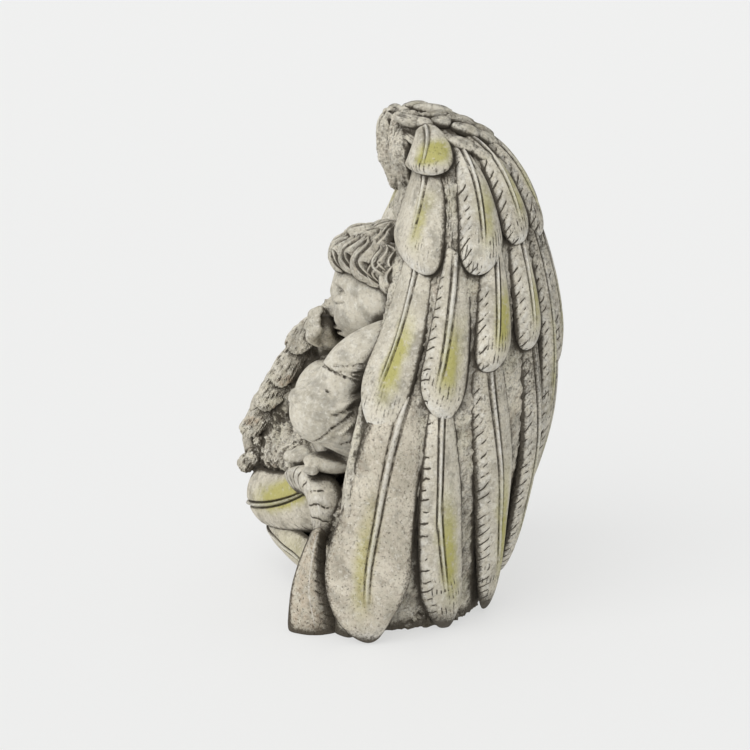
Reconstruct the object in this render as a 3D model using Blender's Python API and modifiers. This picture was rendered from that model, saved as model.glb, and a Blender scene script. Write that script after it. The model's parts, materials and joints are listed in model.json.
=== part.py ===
"""Sleeping cherub wrapped in its own two wings: one solid casting, modelled in metres, +Z up.

The child faces -Y and +X is its left. The origin is on the ground, under the middle of the
figurine. Every shape is a primitive that is bent or lofted into place, then all of them are
fused into one closed skin, cut flat underneath.
"""

import math

import bmesh
import bpy
import numpy as np
from mathutils import Euler, Matrix, Vector

# Driving dimensions, metres
MM = 0.001
FUSE_VOXEL = 1.3 * MM
FUSE_SMOOTHING = 2
TRIANGLES = 9700
FOOT_SINK = 14.0  # millimetres that the raw shapes run below the ground before the flat cut

# Wings: stations from the crest down to the ground. Each is a back point beside the cleft,
# the widest point at the side, and a point on the front edge, for the left wing.
WING_BACK = ((5, -3, 185), (4, 16, 181.5), (3, 34, 168), (3, 46, 141), (3, 51.5, 109),
             (3, 48.5, 75), (3, 37, 38), (3, 26, 0))
WING_SIDE = ((9, -5, 185), (24, 2, 177), (37, 4, 158.5), (49, 2, 129), (57, -1, 95),
             (60, -5, 62), (56, -10, 30), (46, -12, 0))
LEFT_FRONT = ((5, -6, 185), (10, -7, 175), (6, -6, 160), (15, -12, 138), (28, -20, 114),
              (42, -32, 87), (54, -40, 52), (50, -38, 0))
RIGHT_FRONT = ((5, -7, 186), (10, -10, 176), (6, -3, 161), (14, -2.5, 138), (29, -20, 114),
               (43, -41, 85), (50.5, -54, 47), (45, -26, 0))
SIDE_SHARE = 0.6        # the widest point lies this far from the cleft to the front edge
CLEFT_DEPTH = 5.0       # the groove where the two wings meet at the back
CLEFT_WIDTH = 6.0
SHELL_THICKNESS = 7.0
SHELL_SINK = 3.2        # the shell lies this far under the wing's nominal skin
FILL_SHARES = (0.52, 0.52, 0.54, 0.68, 0.76, 0.60, 0.56, 0.56)  # the wings are cast full
#                         from the cleft out to these shares across, station by station,
FILL_TOP = 0.12         # and from this share along down to the ground
FILL_SINK = 6.5         # the fill's rear face lies inside the shell

# Feathers: each row runs from the front edge back to the cleft, and each feather is the
# share across and the share along at its tip, and its width as a share of the wing
CREST_ROW = ((0.77, 0.25, 0.38), (0.39, 0.235, 0.11), (0.28, 0.243, 0.11),
             (0.18, 0.262, 0.11), (0.06, 0.275, 0.12))
SHORT_ROW = ((0.86, 0.445, 0.31), (0.51, 0.43, 0.185), (0.345, 0.415, 0.17),
             (0.19, 0.43, 0.15), (0.05, 0.415, 0.12))
MIDDLE_ROW = ((0.91, 0.733, 0.21), (0.675, 0.64, 0.22), (0.49, 0.58, 0.125),
              (0.36, 0.575, 0.12), (0.245, 0.73, 0.11), (0.145, 0.65, 0.10), (0.05, 0.68, 0.09))
LONG_ROW = ((0.49, 1.0, 0.15), (0.27, 0.995, 0.14), (0.15, 0.955, 0.11), (0.05, 0.90, 0.10))
ROWS = (CREST_ROW, SHORT_ROW, MIDDLE_ROW)
ROW_ROOTS = (0.10, 0.17, 0.37)          # share along at the quills of each of these rows
ROOT_DRAW = 0.93                        # the quills stand closer together than the tips
FRONT_SET_BACK = 0.10                   # the right wing's top front feather lies further back
LONG_ROOTS = ((0.66, 0.55), (0.50, 0.55), (0.34, 0.55), (0.18, 0.55))  # of the longest row,
LONG_CURL = 1.6                         # which bends towards the cleft near the ground
FEATHER_LIFT = (-3.4, 0.8)              # height over the skin, at the quill and at the tip
FEATHER_THICKNESS = 3.8
# The front feathers: centres, widths and the way each faces, from the quill to the tip
SWEEP_TOP = (((-55, -16, 38), (-52, -38, 32), (-40, -47.5, 30), (-22, -45, 32),
              (-5, -39, 36), (8, -35, 41), (17, -33, 47)), (20, 22, 22, 23, 24, 21, 15),
             ((-1, -0.4, 0.1), (-0.8, -0.7, 0), (-0.4, -1, 0), (0.1, -1, 0), (0.3, -1, 0.1),
              (0.4, -0.9, 0.2), (0.4, -0.8, 0.4)))
SWEEP_FOLD = (((-14, -43.5, 43), (-2, -42, 48.2), (9, -40.5, 49.5), (16, -39.5, 44.5),
               (16.5, -40, 36.5), (14, -41, 28)), (7, 10, 12.5, 13.5, 12, 7),
              ((-0.1, -0.8, 0.6), (0.1, -0.8, 0.6), (0.4, -0.8, 0.5), (0.75, -0.7, 0.2),
               (0.8, -0.7, 0), (0.75, -0.7, -0.1)))
SWEEP_LOW = (((-53, -12, 27), (-47, -30, 23), (-35, -41, 20), (-18, -41, 18), (-2, -40, 17.5),
              (12, -39, 16), (24, -36, 13)), (12, 13, 12, 12.5, 14, 14, 11),
             ((-1, -0.3, 0), (-0.8, -0.7, -0.1), (-0.3, -1, -0.1), (0, -1, -0.15),
              (0.2, -1, -0.1), (0.3, -1, -0.1), (0.4, -1, 0)))
FIN = (((34, -44, 38), (35.5, -47, 28), (37, -48.8, 16), (37.5, -47.5, 5), (37.5, -46, -6)),
       (5, 9, 14, 18.5, 19),
       ((0.95, -0.4, 0.1), (1, -0.4, 0.1), (1, -0.35, 0.15), (1, -0.3, 0.2), (1, -0.3, 0.3)))
BROAD = (((47, -12, 94), (52, -19, 79), (54, -24, 64), (54.5, -28, 47),
          (55, -32, 28), (56, -33.5, 13), (57.5, -32, 0.5)), (16, 23, 24, 26.5, 31, 31, 26),
         ((1, -0.1, 0.1), (1, -0.2, 0.1), (1, -0.25, 0.05), (1, -0.3, 0.05), (1, -0.35, 0.1),
          (1, -0.35, 0.3), (1, -0.35, 0.5)))
SCALLOP_ROWS = ((0.24, 0.44), (0.40, 0.58), (0.53, 0.72), (0.68, 0.86))
SCALLOP_COLUMNS = ((0.95, 0.15), (0.80, 0.15), (0.66, 0.14))

# The child's head: angles in degrees, bowed forward and turned to its right
HEAD_TURN = (4, 0, -22)
HEAD_CENTRE = (-0.5, -4.5, 116.5)
SKULL = (22.0, 24.0, 23.5)
HAIR_LOCKS = 11


def millimetres(points):
    """Points in millimetres, as metres."""
    return np.asarray(points, float) * MM


def smooth_station(stations, share):
    """A point on the smooth curve through the stations, at each share of its length."""
    stations = np.asarray(stations, float)
    spans = len(stations) - 1
    place = np.clip(share, 0.0, 1.0) * spans
    index = np.clip(place.astype(int), 0, spans - 1)
    f = (place - index)[..., None]
    first, last = 2 * stations[0] - stations[1], 2 * stations[-1] - stations[-2]
    padded = np.vstack([first, stations, last])
    a, b, c, d = (padded[index + k] for k in range(4))
    return 0.5 * (2 * b + (c - a) * f + (2 * a - 5 * b + 4 * c - d) * f**2
                  + (3 * b - a - 3 * c + d) * f**3)


def wing_point(across, along, side):
    """A point of a wing's skin: across runs from the cleft to the front edge, along from the
    crest to the ground, and side is 1 for the left wing and -1 for the right one.

    From the cleft to the widest point the section is a quarter of an ellipse, and from there
    to the front edge it is a bow."""
    across, along = np.broadcast_arrays(np.asarray(across, float), np.asarray(along, float))
    back, widest = smooth_station(WING_BACK, along), smooth_station(WING_SIDE, along)
    edge = smooth_station(LEFT_FRONT if side > 0 else RIGHT_FRONT, along)
    turn = np.clip(across / SIDE_SHARE, -0.3, 1.0) * math.pi / 2
    rise = 1 - np.cos(turn)
    rear = back + (widest - back) * np.stack([np.sin(turn), rise, rise], -1)
    g = np.clip((across - SIDE_SHARE) / (1 - SIDE_SHARE), 0.0, 1.3)[..., None]
    handle = np.stack([widest[..., 0], 0.35 * widest[..., 1] + 0.65 * edge[..., 1],
                       0.5 * (widest[..., 2] + edge[..., 2])], -1)
    front = (1 - g) ** 2 * widest + 2 * g * (1 - g) * handle + g * g * edge
    point = np.where((across < SIDE_SHARE)[..., None], rear, front)
    point[..., 1] -= CLEFT_DEPTH * np.exp(-((point[..., 0] / CLEFT_WIDTH) ** 2))
    point[..., 0] *= side
    return point


def wing_frame(across, along, side):
    """The point, the outward normal and the millimetres per share across, there."""
    step = 1e-3
    low, high = np.clip(along - step, 0, 1), np.clip(along + step, 0, 1)
    over = wing_point(across + step, along, side) - wing_point(across - step, along, side)
    down = wing_point(across, high, side) - wing_point(across, low, side)
    normal = np.cross(over, down) * side
    normal /= np.maximum(np.linalg.norm(normal, axis=-1, keepdims=True), 1e-9)
    return wing_point(across, along, side), normal, np.linalg.norm(over, axis=-1) / (2 * step)


def finish_mesh(mesh, name):
    """A bmesh as an object of the figurine's raw shapes, with its faces pointing out."""
    bmesh.ops.recalc_face_normals(mesh, faces=mesh.faces)
    data = bpy.data.meshes.new(name)
    mesh.to_mesh(data)
    mesh.free()
    made = bpy.data.objects.new(name, data)
    bpy.context.scene.collection.objects.link(made)
    return made


def bent_ball(name, bend, segments=12, rings=14):
    """A ball whose points the function bend carries to their places, in millimetres."""
    mesh = bmesh.new()
    bmesh.ops.create_uvsphere(mesh, u_segments=segments, v_segments=rings, radius=1.0)
    mesh.verts.ensure_lookup_table()
    unit = np.array([v.co for v in mesh.verts])
    for vertex, place in zip(mesh.verts, millimetres(bend(unit))):
        vertex.co = place
    return finish_mesh(mesh, name)


def ellipsoid(name, centre, radii, turn=(0, 0, 0)):
    """An ellipsoid turned by three angles in degrees."""
    matrix = np.array(Euler([math.radians(a) for a in turn]).to_matrix())
    return bent_ball(name, lambda unit: (unit * np.array(radii)) @ matrix.T + np.array(centre),
                     segments=24, rings=16)


def limb(name, centres, radii):
    """A round limb through the centres, with its own radius at each: a bevelled curve."""
    curve = bpy.data.curves.new(name, "CURVE")
    curve.dimensions = "3D"
    curve.bevel_depth = MM
    curve.bevel_resolution = 3
    curve.use_fill_caps = True
    count = 8 * (len(centres) - 1) + 1
    share = np.linspace(0, 1, count)
    path = smooth_station(centres, share)
    girth = smooth_station(np.array(radii, float)[:, None], share)[:, 0]
    spline = curve.splines.new("POLY")
    spline.points.add(count - 1)
    for point, centre, radius in zip(spline.points, path, girth):
        point.co = (*millimetres(centre), 1.0)
        point.radius = radius
    holder = bpy.data.objects.new(name + "_curve", curve)
    bpy.context.scene.collection.objects.link(holder)
    bpy.context.view_layer.update()
    graph = bpy.context.evaluated_depsgraph_get()
    mesh = bmesh.new()
    mesh.from_mesh(bpy.data.meshes.new_from_object(holder.evaluated_get(graph)))
    bmesh.ops.remove_doubles(mesh, verts=mesh.verts, dist=0.01 * MM)
    bpy.data.objects.remove(holder)
    ends = [ellipsoid(name + "_end", centres[k], (radii[k],) * 3) for k in (0, -1)]
    return [finish_mesh(mesh, name), *ends]


def wing_shell(name, side):
    """The wing under its feathers: a curved sheet with a wall on its inner side."""
    mesh = bmesh.new()
    bmesh.ops.create_grid(mesh, x_segments=24, y_segments=40, size=0.5)
    mesh.verts.ensure_lookup_table()
    unit = np.array([v.co for v in mesh.verts]) + 0.5
    across, along = unit[:, 0] * 1.08 - 0.08, unit[:, 1]
    place, normal, _ = wing_frame(across, along, side)
    place = place - normal * SHELL_SINK
    place[:, 2] = np.where(along > 0.995, -FOOT_SINK, place[:, 2])
    for vertex, point in zip(mesh.verts, millimetres(place)):
        vertex.co = point
    bmesh.ops.recalc_face_normals(mesh, faces=mesh.faces)
    middle = min(mesh.faces, key=lambda f: abs(f.calc_center_median().z - 0.09))
    outward = middle.calc_center_median() - Vector((0, 0, middle.calc_center_median().z))
    if middle.normal.dot(outward) < 0:
        bmesh.ops.reverse_faces(mesh, faces=mesh.faces)
    data = bpy.data.meshes.new(name)
    mesh.to_mesh(data)
    mesh.free()
    shell = bpy.data.objects.new(name, data)
    bpy.context.scene.collection.objects.link(shell)
    wall = shell.modifiers.new("wall", "SOLIDIFY")
    wall.thickness = SHELL_THICKNESS * MM
    wall.offset = -1.0
    return shell


def casting_body():
    """The solid body between the wings, behind the child: a loft of level rings.

    Each ring follows the inside of both wings round the back, and closes with a straight
    front wall, so the hood over the head is a shallow recess."""
    mesh = bmesh.new()
    rows, columns = 30, 14
    rings = []
    for along in np.linspace(FILL_TOP, 1.0, rows):
        reach = smooth_station(np.array(FILL_SHARES)[:, None], np.array([along]))[0, 0]
        shares = reach * np.linspace(1, 0, columns)
        left, outward, _ = wing_frame(shares, np.full(columns, along), 1)
        left = left - outward * FILL_SINK
        if along == 1.0:
            left[:, 2] = -FOOT_SINK
        right = left[::-1][1:] * (-1, 1, 1)
        rings.append([mesh.verts.new(place) for place in millimetres(np.vstack([left, right]))])
    for upper, lower in zip(rings, rings[1:]):
        for k in range(len(upper)):
            mesh.faces.new((upper[k - 1], upper[k], lower[k], lower[k - 1]))
    mesh.faces.new(rings[0])
    mesh.faces.new(rings[-1])
    return finish_mesh(mesh, "casting_body")


def feather(name, side, root, tip, share, lift=FEATHER_LIFT, depth=0.0, curl=1.0):
    """One feather lying on a wing, from root to tip, each (across, along).

    A ball is flattened and laid along the feather's line. Its outline swells from the quill
    to a broad blade with a round tip, and it rises off the wing towards the tip. share is
    its width as a share of the wing, depth puts it on the wing's inner side, and a curl
    over 1 keeps it straight at first and bends it to its tip."""
    def bend(unit):
        down = 0.5 - 0.5 * np.clip(unit[:, 2], -1, 1)
        ring = np.maximum(np.hypot(unit[:, 0], unit[:, 1]), 1e-6)
        edge, level = unit[:, 0] / ring, unit[:, 1] / ring
        blade = 0.80 + 0.20 * np.sin(np.clip(down / 0.7, 0, 1) * math.pi / 2)
        close = np.sqrt(np.clip(1 - np.clip((down - 0.78) / 0.22, 0, 1) ** 2.2, 0, 1))
        close *= np.sqrt(np.clip(down / 0.05, 0, 1))
        centre = root[0] + (tip[0] - root[0]) * down**curl
        across = centre + edge * 0.5 * share * blade * close
        across = np.clip(across, -0.08, 1.0)
        along = root[1] + (tip[1] - root[1]) * down
        point, normal, _ = wing_frame(across, np.clip(along, 0, 1), side)
        height = lift[0] + (lift[1] - lift[0]) * down
        crown = 1 - 0.75 * edge**2
        height = height + np.where(level > 0, crown, 1.0) * level * FEATHER_THICKNESS * close
        if depth:
            height = -depth - height
        point = point + normal * height[:, None]
        point[:, 2] -= np.clip(along - 1, 0, None) * 200
        return point
    return bent_ball(name, bend, segments=16, rings=20)


def wing_feathers(side):
    """Every outer feather of a wing in overlapping rows, and the scallops on its inner side."""
    made = []
    for number, (row, root) in enumerate(zip(ROWS, ROW_ROOTS)):
        for column, (across, along, share) in enumerate(row):
            across -= FRONT_SET_BACK * (side < 0 and number == 1 and column == 0)
            made.append(feather(f"feather_{number}_{column}", side,
                                (across * ROOT_DRAW, min(root, along - 0.10)),
                                (across, along), share))
    for column, (root, (across, along, share)) in enumerate(zip(LONG_ROOTS, LONG_ROW)):
        made.append(feather(f"feather_long_{column}", side, root, (across, along), share,
                            curl=LONG_CURL))
    for number, (root, tip) in enumerate(SCALLOP_ROWS):
        for column, (across, share) in enumerate(SCALLOP_COLUMNS):
            made.append(feather(f"scallop_{number}_{column}", side, (across, root),
                                (across, tip), share, lift=(-2.0, 1.6),
                                depth=SHELL_THICKNESS + SHELL_SINK))
    return made


def sweep_feather(name, centres, widths, facing, thickness):
    """A long feather in free space along a curve, its flat side turned to facing."""
    def bend(unit):
        down = 0.5 - 0.5 * np.clip(unit[:, 2], -1, 1)
        ring = np.maximum(np.hypot(unit[:, 0], unit[:, 1]), 1e-6)
        close = np.sqrt(np.clip(1 - np.clip((down - 0.8) / 0.2, 0, 1) ** 2.2, 0, 1))
        close *= np.sqrt(np.clip(down / 0.08, 0, 1))
        spot = smooth_station(centres, down)
        ahead = smooth_station(centres, down + 0.01) - smooth_station(centres, down - 0.01)
        ahead /= np.maximum(np.linalg.norm(ahead, axis=1, keepdims=True), 1e-9)
        face = smooth_station(facing, down)
        face -= ahead * np.sum(face * ahead, axis=1, keepdims=True)
        face /= np.linalg.norm(face, axis=1, keepdims=True)
        wide = np.cross(ahead, face)
        girth = smooth_station(np.array(widths, float)[:, None], down)
        return (spot + wide * girth * 0.5 * (unit[:, 0] / ring * close)[:, None]
                + face * thickness * (unit[:, 1] / ring * close)[:, None])
    return bent_ball(name, bend, segments=12, rings=24)


def front_feathers():
    """The lowest feathers. Two of the right wing sweep across the front, the upper one folding
    over at its end, and on the left a broad one and a narrow one stand on the ground."""
    return [
        sweep_feather("sweep_top", *SWEEP_TOP, 5.5),
        sweep_feather("sweep_fold", *SWEEP_FOLD, 5.0),
        sweep_feather("sweep_low", *SWEEP_LOW, 4.6),
        sweep_feather("fin", *FIN, 5.0),
        sweep_feather("broad", *BROAD, 4.2),
    ]


def hair_locks():
    """Thick locks of hair combed forward from the crown, down to the temples and the nape.

    Each lock starts at the crown and runs down the skull on its own meridian, swirling a
    little as it goes."""
    made = []
    for number in range(HAIR_LOCKS):
        bearing = 2 * math.pi * number / HAIR_LOCKS
        path = []
        for step in range(5):
            polar = math.radians(12 + (44 if math.cos(bearing) > 0.4 else 84) * step / 4)
            turn = bearing + 0.5 * step / 4
            along = Vector((math.sin(polar) * math.sin(turn),
                            -math.sin(polar) * math.cos(turn), math.cos(polar)))
            radii = Vector(SKULL)
            along = Vector((along.x * radii.x, along.y * radii.y, along.z * radii.z))
            along.rotate(Euler([math.radians(a) for a in HEAD_TURN]))
            path.append(tuple(Vector(HEAD_CENTRE) + along))
        made += limb(f"lock_{number}", path, (2.6, 4.0, 4.4, 4.0, 2.2))
    return made


def child():
    """The sleeping child: head bowed and turned to its right, knees drawn up under a loose
    gown, one bare shoulder, a hand under its cheek, bare feet below the hem, and down heaped
    between it and the right wing."""
    made = [
        ellipsoid("skull", HEAD_CENTRE, SKULL, HEAD_TURN),
        ellipsoid("face", (-5, -15, 109), (15, 13.5, 15), HEAD_TURN),
        ellipsoid("cheek_left", (4, -21, 107), (9, 9, 9)),
        ellipsoid("cheek_right", (-15, -14, 107), (8, 8, 9)),
        ellipsoid("nose", (-10, -29.5, 111.5), (2.6, 3, 3)),
        ellipsoid("chin", (-8.5, -24.5, 98), (5, 5, 4.5)),
        ellipsoid("forelock", (-7, -25, 134), (9, 8, 5), (30, 0, -25)),
        ellipsoid("torso", (0, 2, 72), (26, 22, 32), (-12, 0, 0)),
        ellipsoid("lap", (2, -8, 56), (34, 20, 17)),
        ellipsoid("skirt", (4, -25, 66), (25, 14, 17)),
        ellipsoid("knee_left", (24, -38.5, 78), (14.5, 14.5, 14.5)),
        ellipsoid("knee_right", (-13, -27, 75), (14, 14, 14), (10, 0, -10)),
        ellipsoid("hand_right", (-14, -31.5, 103.5), (5, 4.6, 6.5)),
        ellipsoid("hand_left", (4, -37, 86), (7, 5, 5.5)),
        ellipsoid("foot_left", (20, -39.5, 59), (6.5, 10, 4.6), (-6, 0, -6)),
        ellipsoid("elbow_left", (24.5, -45, 84), (7, 7, 6)),
        ellipsoid("down_left", (26, -20, 30), (22, 20, 26)),
        ellipsoid("foot_right", (-4, -34, 53), (6.5, 10.5, 5.5), (-6, 0, -4)),
        ellipsoid("nest", (0, -9, 6), (48, 31, 42)),
        ellipsoid("crest_bridge", (0, 6, 180), (9, 12, 7)),
    ]
    made += hair_locks()
    made += limb("neck", ((-1, 0, 92), (-1, -4, 104)), (12, 11))
    made += limb("shoulders", ((-24, -4, 93), (0, 1, 95), (24, -8, 98)), (11, 13, 11))
    made += limb("arm_left", ((24, -6, 101), (26, -18, 101), (26, -29, 95), (25, -37, 87)),
                 (11, 10, 9.3, 9))
    made += limb("arm_right", ((-24, -2, 94), (-27, -12, 88), (-23, -21, 83)), (11, 9, 8))
    made += limb("forearm_left", ((25, -37, 86), (14, -38, 86), (4, -37, 86)), (8.5, 6.8, 5))
    made += limb("forearm_right", ((-24, -21, 84), (-22, -25, 92), (-16, -30, 100)),
                 (7, 6, 5))
    made += limb("thigh_left", ((22, 4, 62), (25, -16, 69), (24, -37, 77)), (17, 16, 13.5))
    made += limb("thigh_right", ((-20, 4, 60), (-16, -12, 68), (-13, -27, 74)), (18, 16, 14))
    made += limb("shin_left", ((24, -26, 70), (22, -28, 62), (21, -34, 57)), (11, 8.5, 6.5))
    made += limb("shin_right", ((-12, -24, 68), (-7, -22, 60), (-4, -30, 53)), (12, 10, 7))
    made += limb("down_front", ((-40, -37, 40), (-31, -35, 49), (-14, -30, 51), (2, -27, 52)),
                 (9, 12, 12, 10))
    made += limb("down_side", ((-38, -24, 36), (-38, -21, 56), (-35, -14, 76)), (11, 11, 9))
    for side in (1, -1):
        made += limb("crest_roll", ((side * 5, -7, 182), (side * 11, -5, 183),
                                    (side * 16, 1, 181.5), (side * 19, 7, 179)),
                     (2.6, 3, 3, 2.4))
    return made


def joined(shapes, name):
    """All the shapes, with their modifiers, as one object. They still run through each other."""
    graph = bpy.context.evaluated_depsgraph_get()
    whole = bmesh.new()
    for shape in shapes:
        whole.from_mesh(bpy.data.meshes.new_from_object(shape.evaluated_get(graph)))
        bpy.data.objects.remove(shape)
    data = bpy.data.meshes.new(name)
    whole.to_mesh(data)
    whole.free()
    made = bpy.data.objects.new(name, data)
    bpy.context.scene.collection.objects.link(made)
    return made


def baked(thing):
    """Replaces the object's mesh with what its modifiers make of it."""
    bpy.context.view_layer.update()
    graph = bpy.context.evaluated_depsgraph_get()
    data = bpy.data.meshes.new_from_object(thing.evaluated_get(graph))
    thing.modifiers.clear()
    thing.data = data


def keep_outer_skin(thing):
    """Drops the skins of sealed pockets between the shapes, and keeps the largest one."""
    mesh = bmesh.new()
    mesh.from_mesh(thing.data)
    left, skins = set(mesh.verts), []
    while left:
        skin, edge = set(), [left.pop()]
        while edge:
            vertex = edge.pop()
            skin.add(vertex)
            near = {e.other_vert(vertex) for e in vertex.link_edges} & left
            left -= near
            edge.extend(near)
        skins.append(skin)
    largest = max(skins, key=len)
    bmesh.ops.delete(mesh, geom=[v for v in mesh.verts if v not in largest], context="VERTS")
    mesh.to_mesh(thing.data)
    mesh.free()


def fused(thing):
    """One smooth closed skin over all the shapes, thinned to the triangle budget."""
    skin = thing.modifiers.new("skin", "REMESH")
    skin.mode = "VOXEL"
    skin.voxel_size = FUSE_VOXEL
    soften = thing.modifiers.new("soften", "SMOOTH")
    soften.factor = 0.5
    soften.iterations = FUSE_SMOOTHING
    baked(thing)
    keep_outer_skin(thing)
    thin = thing.modifiers.new("thin", "DECIMATE")
    faces = sum(len(face.vertices) - 2 for face in thing.data.polygons)
    thin.ratio = TRIANGLES / faces
    baked(thing)


def cut_flat(thing):
    """Cuts off what runs below the ground, and closes the foot with a flat face."""
    mesh = bmesh.new()
    mesh.from_mesh(thing.data)
    below = bmesh.ops.bisect_plane(mesh, geom=[*mesh.verts, *mesh.edges, *mesh.faces],
                                   plane_co=(0, 0, 0), plane_no=(0, 0, 1),
                                   clear_inner=True, dist=1e-6)
    rim = [g for g in below["geom_cut"] if isinstance(g, bmesh.types.BMEdge)]
    bmesh.ops.triangle_fill(mesh, edges=rim, use_beauty=True, use_dissolve=False,
                            normal=(0, 0, -1))
    bmesh.ops.recalc_face_normals(mesh, faces=mesh.faces)
    bmesh.ops.triangulate(mesh, faces=mesh.faces)
    mesh.to_mesh(thing.data)
    mesh.free()


def stand_on_origin(thing):
    """Moves the casting so that the origin is on the ground, under the middle of its box."""
    corners = np.array([vertex.co for vertex in thing.data.vertices])
    middle = (corners.min(axis=0) + corners.max(axis=0)) / 2
    thing.data.transform(Matrix.Translation((-middle[0], -middle[1], 0.0)))


def stone_paint():
    """Cast stone under a worn wash, as one plain colour."""
    paint = bpy.data.materials.new("aged_cast_stone")
    paint.use_nodes = True
    shader = paint.node_tree.nodes["Principled BSDF"]
    shader.inputs["Base Color"].default_value = (0.50, 0.47, 0.41, 1.0)
    shader.inputs["Roughness"].default_value = 0.82
    shader.inputs["Metallic"].default_value = 0.0
    return paint


def build():
    """Clears the scene and makes the figurine."""
    for old in list(bpy.data.objects):
        bpy.data.objects.remove(old)
    shapes = [casting_body()] + child() + front_feathers()
    for side in (1, -1):
        shapes.append(wing_shell("wing_left" if side > 0 else "wing_right", side))
        shapes += wing_feathers(side)
    bpy.context.view_layer.update()
    figurine = joined(shapes, "cherub_figurine")
    fused(figurine)
    cut_flat(figurine)
    stand_on_origin(figurine)
    figurine.data.materials.clear()
    figurine.data.materials.append(stone_paint())
    figurine.data.shade_smooth()
    figurine.data.set_sharp_from_angle(angle=math.radians(50))
    home = bpy.data.collections.new("cherub figurine")
    bpy.context.scene.collection.children.link(home)
    bpy.context.scene.collection.objects.unlink(figurine)
    home.objects.link(figurine)


build()
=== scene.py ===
import json
import math

import bpy
import numpy as np
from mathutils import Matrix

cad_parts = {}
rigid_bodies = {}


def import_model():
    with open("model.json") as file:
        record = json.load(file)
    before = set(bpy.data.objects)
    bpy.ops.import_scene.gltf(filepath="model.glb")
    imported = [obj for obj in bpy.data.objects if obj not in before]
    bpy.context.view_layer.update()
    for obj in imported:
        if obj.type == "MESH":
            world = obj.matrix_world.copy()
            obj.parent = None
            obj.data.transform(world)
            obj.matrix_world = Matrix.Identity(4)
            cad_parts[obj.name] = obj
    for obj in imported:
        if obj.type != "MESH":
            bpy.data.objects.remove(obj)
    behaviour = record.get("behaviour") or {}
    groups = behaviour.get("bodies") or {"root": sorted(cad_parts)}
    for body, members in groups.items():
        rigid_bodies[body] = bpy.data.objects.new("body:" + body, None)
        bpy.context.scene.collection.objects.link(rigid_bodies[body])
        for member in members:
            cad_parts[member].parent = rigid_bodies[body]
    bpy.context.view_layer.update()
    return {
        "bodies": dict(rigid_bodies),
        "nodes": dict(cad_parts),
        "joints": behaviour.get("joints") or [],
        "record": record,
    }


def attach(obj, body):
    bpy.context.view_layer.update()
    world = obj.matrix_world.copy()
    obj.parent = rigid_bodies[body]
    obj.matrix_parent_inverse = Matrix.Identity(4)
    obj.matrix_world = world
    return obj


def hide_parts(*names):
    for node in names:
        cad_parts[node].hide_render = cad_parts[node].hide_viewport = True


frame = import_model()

# ---------------------------------------------------------------------------------------
# Outer feathers of both wings, part of the one piece cast in stone. Each wing is a curved
# shell that runs from a cleft at the back round to a front edge, and is carved with
# overlapping rows of long, convex, round-tipped blades.
MM = 0.001
AXIS = np.array([-0.21, 0.88, 0.0])  # millimetres from the box's middle to the child's axis
# The skin of a wing from the crest down to the ground, in millimetres: beside the cleft, at
# its widest, and along the front edge. The first two are the same for both wings.
WING_BACK = ((5, -3, 183.5), (4, 16, 180.5), (3, 34, 168), (3, 46, 141), (3, 51.5, 109),
             (3, 48.5, 75), (3, 37, 38), (3, 26, 0))
WING_SIDE = ((9, -5, 183.5), (24, 2, 177), (37, 4, 158.5), (49, 2, 129), (57, -1, 95),
             (60, -5, 62), (56, -10, 30), (46, -12, 0))
LEFT_FRONT = ((5, -6, 183.5), (10, -7, 175), (6, -6, 160), (15, -12, 138), (28, -20, 114),
              (42, -32, 87), (54, -40, 52), (50, -38, 0))
RIGHT_FRONT = ((5, -6, 183.5), (10, -10, 176), (6, -3, 161), (14, -2.5, 138), (29, -20, 114),
               (43, -41, 85), (50.5, -54, 47), (45, -26, 0))
SIDE_SHARE = 0.6        # the widest point lies this far from the cleft to the front edge
CLEFT_DEPTH, CLEFT_WIDTH = 5.0, 6.0
DRAWN_BACK = 8.0        # the right wing's front stands this far back beside the child's crown
DRAWN_AT, DRAWN_OVER = 0.34, 0.11       # and does so at and about this share along
# Rows of blades, from the front edge back to the cleft: the tip's shares across and along
# the wing, and the blade's width as a share of the way round
SHORT_ROW = ((0.86, 0.445, 0.31), (0.51, 0.43, 0.185), (0.345, 0.415, 0.17),
             (0.19, 0.43, 0.15), (0.05, 0.415, 0.12))
MIDDLE_ROW = ((0.91, 0.733, 0.21), (0.675, 0.64, 0.22), (0.49, 0.58, 0.125),
              (0.36, 0.575, 0.12), (0.245, 0.73, 0.11), (0.145, 0.65, 0.10), (0.05, 0.68, 0.09))
LONG_ROW = ((0.49, 1.0, 0.15), (0.27, 0.995, 0.14), (0.15, 0.955, 0.11), (0.05, 0.90, 0.10))
LONG_ROOTS = (0.66, 0.50, 0.34, 0.18)   # shares across at the quills of the longest row
ROW_ROOTS = (0.17, 0.37, 0.55)          # share along at the quills of each row
ROOT_DRAW = 0.93                        # the quills stand closer together than the tips
NUDGE, LEAST_RUN = 0.006, 0.15          # a tip's shift, and a blade's least share along
PAST_GROUND = 200.0                     # millimetres down for a share along past the ground
FRONT_SET_BACK = 0.10                   # the right wing's front blades lie further back
BLADE = 4.0                             # thickness of a blade, millimetres
dice = np.random.default_rng(12)


def stations(points, share):
    """A smooth curve through the points: on each span, the cubic whose slope at a point is
    half the step between that point's two neighbours."""
    points = np.asarray(points, float)
    spans = len(points) - 1
    place = np.clip(share, 0.0, 1.0) * spans
    index = np.clip(place.astype(int), 0, spans - 1)
    f = (place - index)[..., None]
    padded = np.vstack([2 * points[0] - points[1], points, 2 * points[-1] - points[-2]])
    a, b, c, d = (padded[index + k] for k in range(4))
    return 0.5 * (2 * b + (c - a) * f + (2 * a - 5 * b + 4 * c - d) * f**2
                  + (3 * b - a - 3 * c + d) * f**3)


def rise_to(low, high, value):
    """0 below low and 1 above high, with the smooth cubic 3q^2 - 2q^3 between them."""
    q = np.clip((value - low) / (high - low), 0, 1)
    return q * q * (3 - 2 * q)


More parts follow.
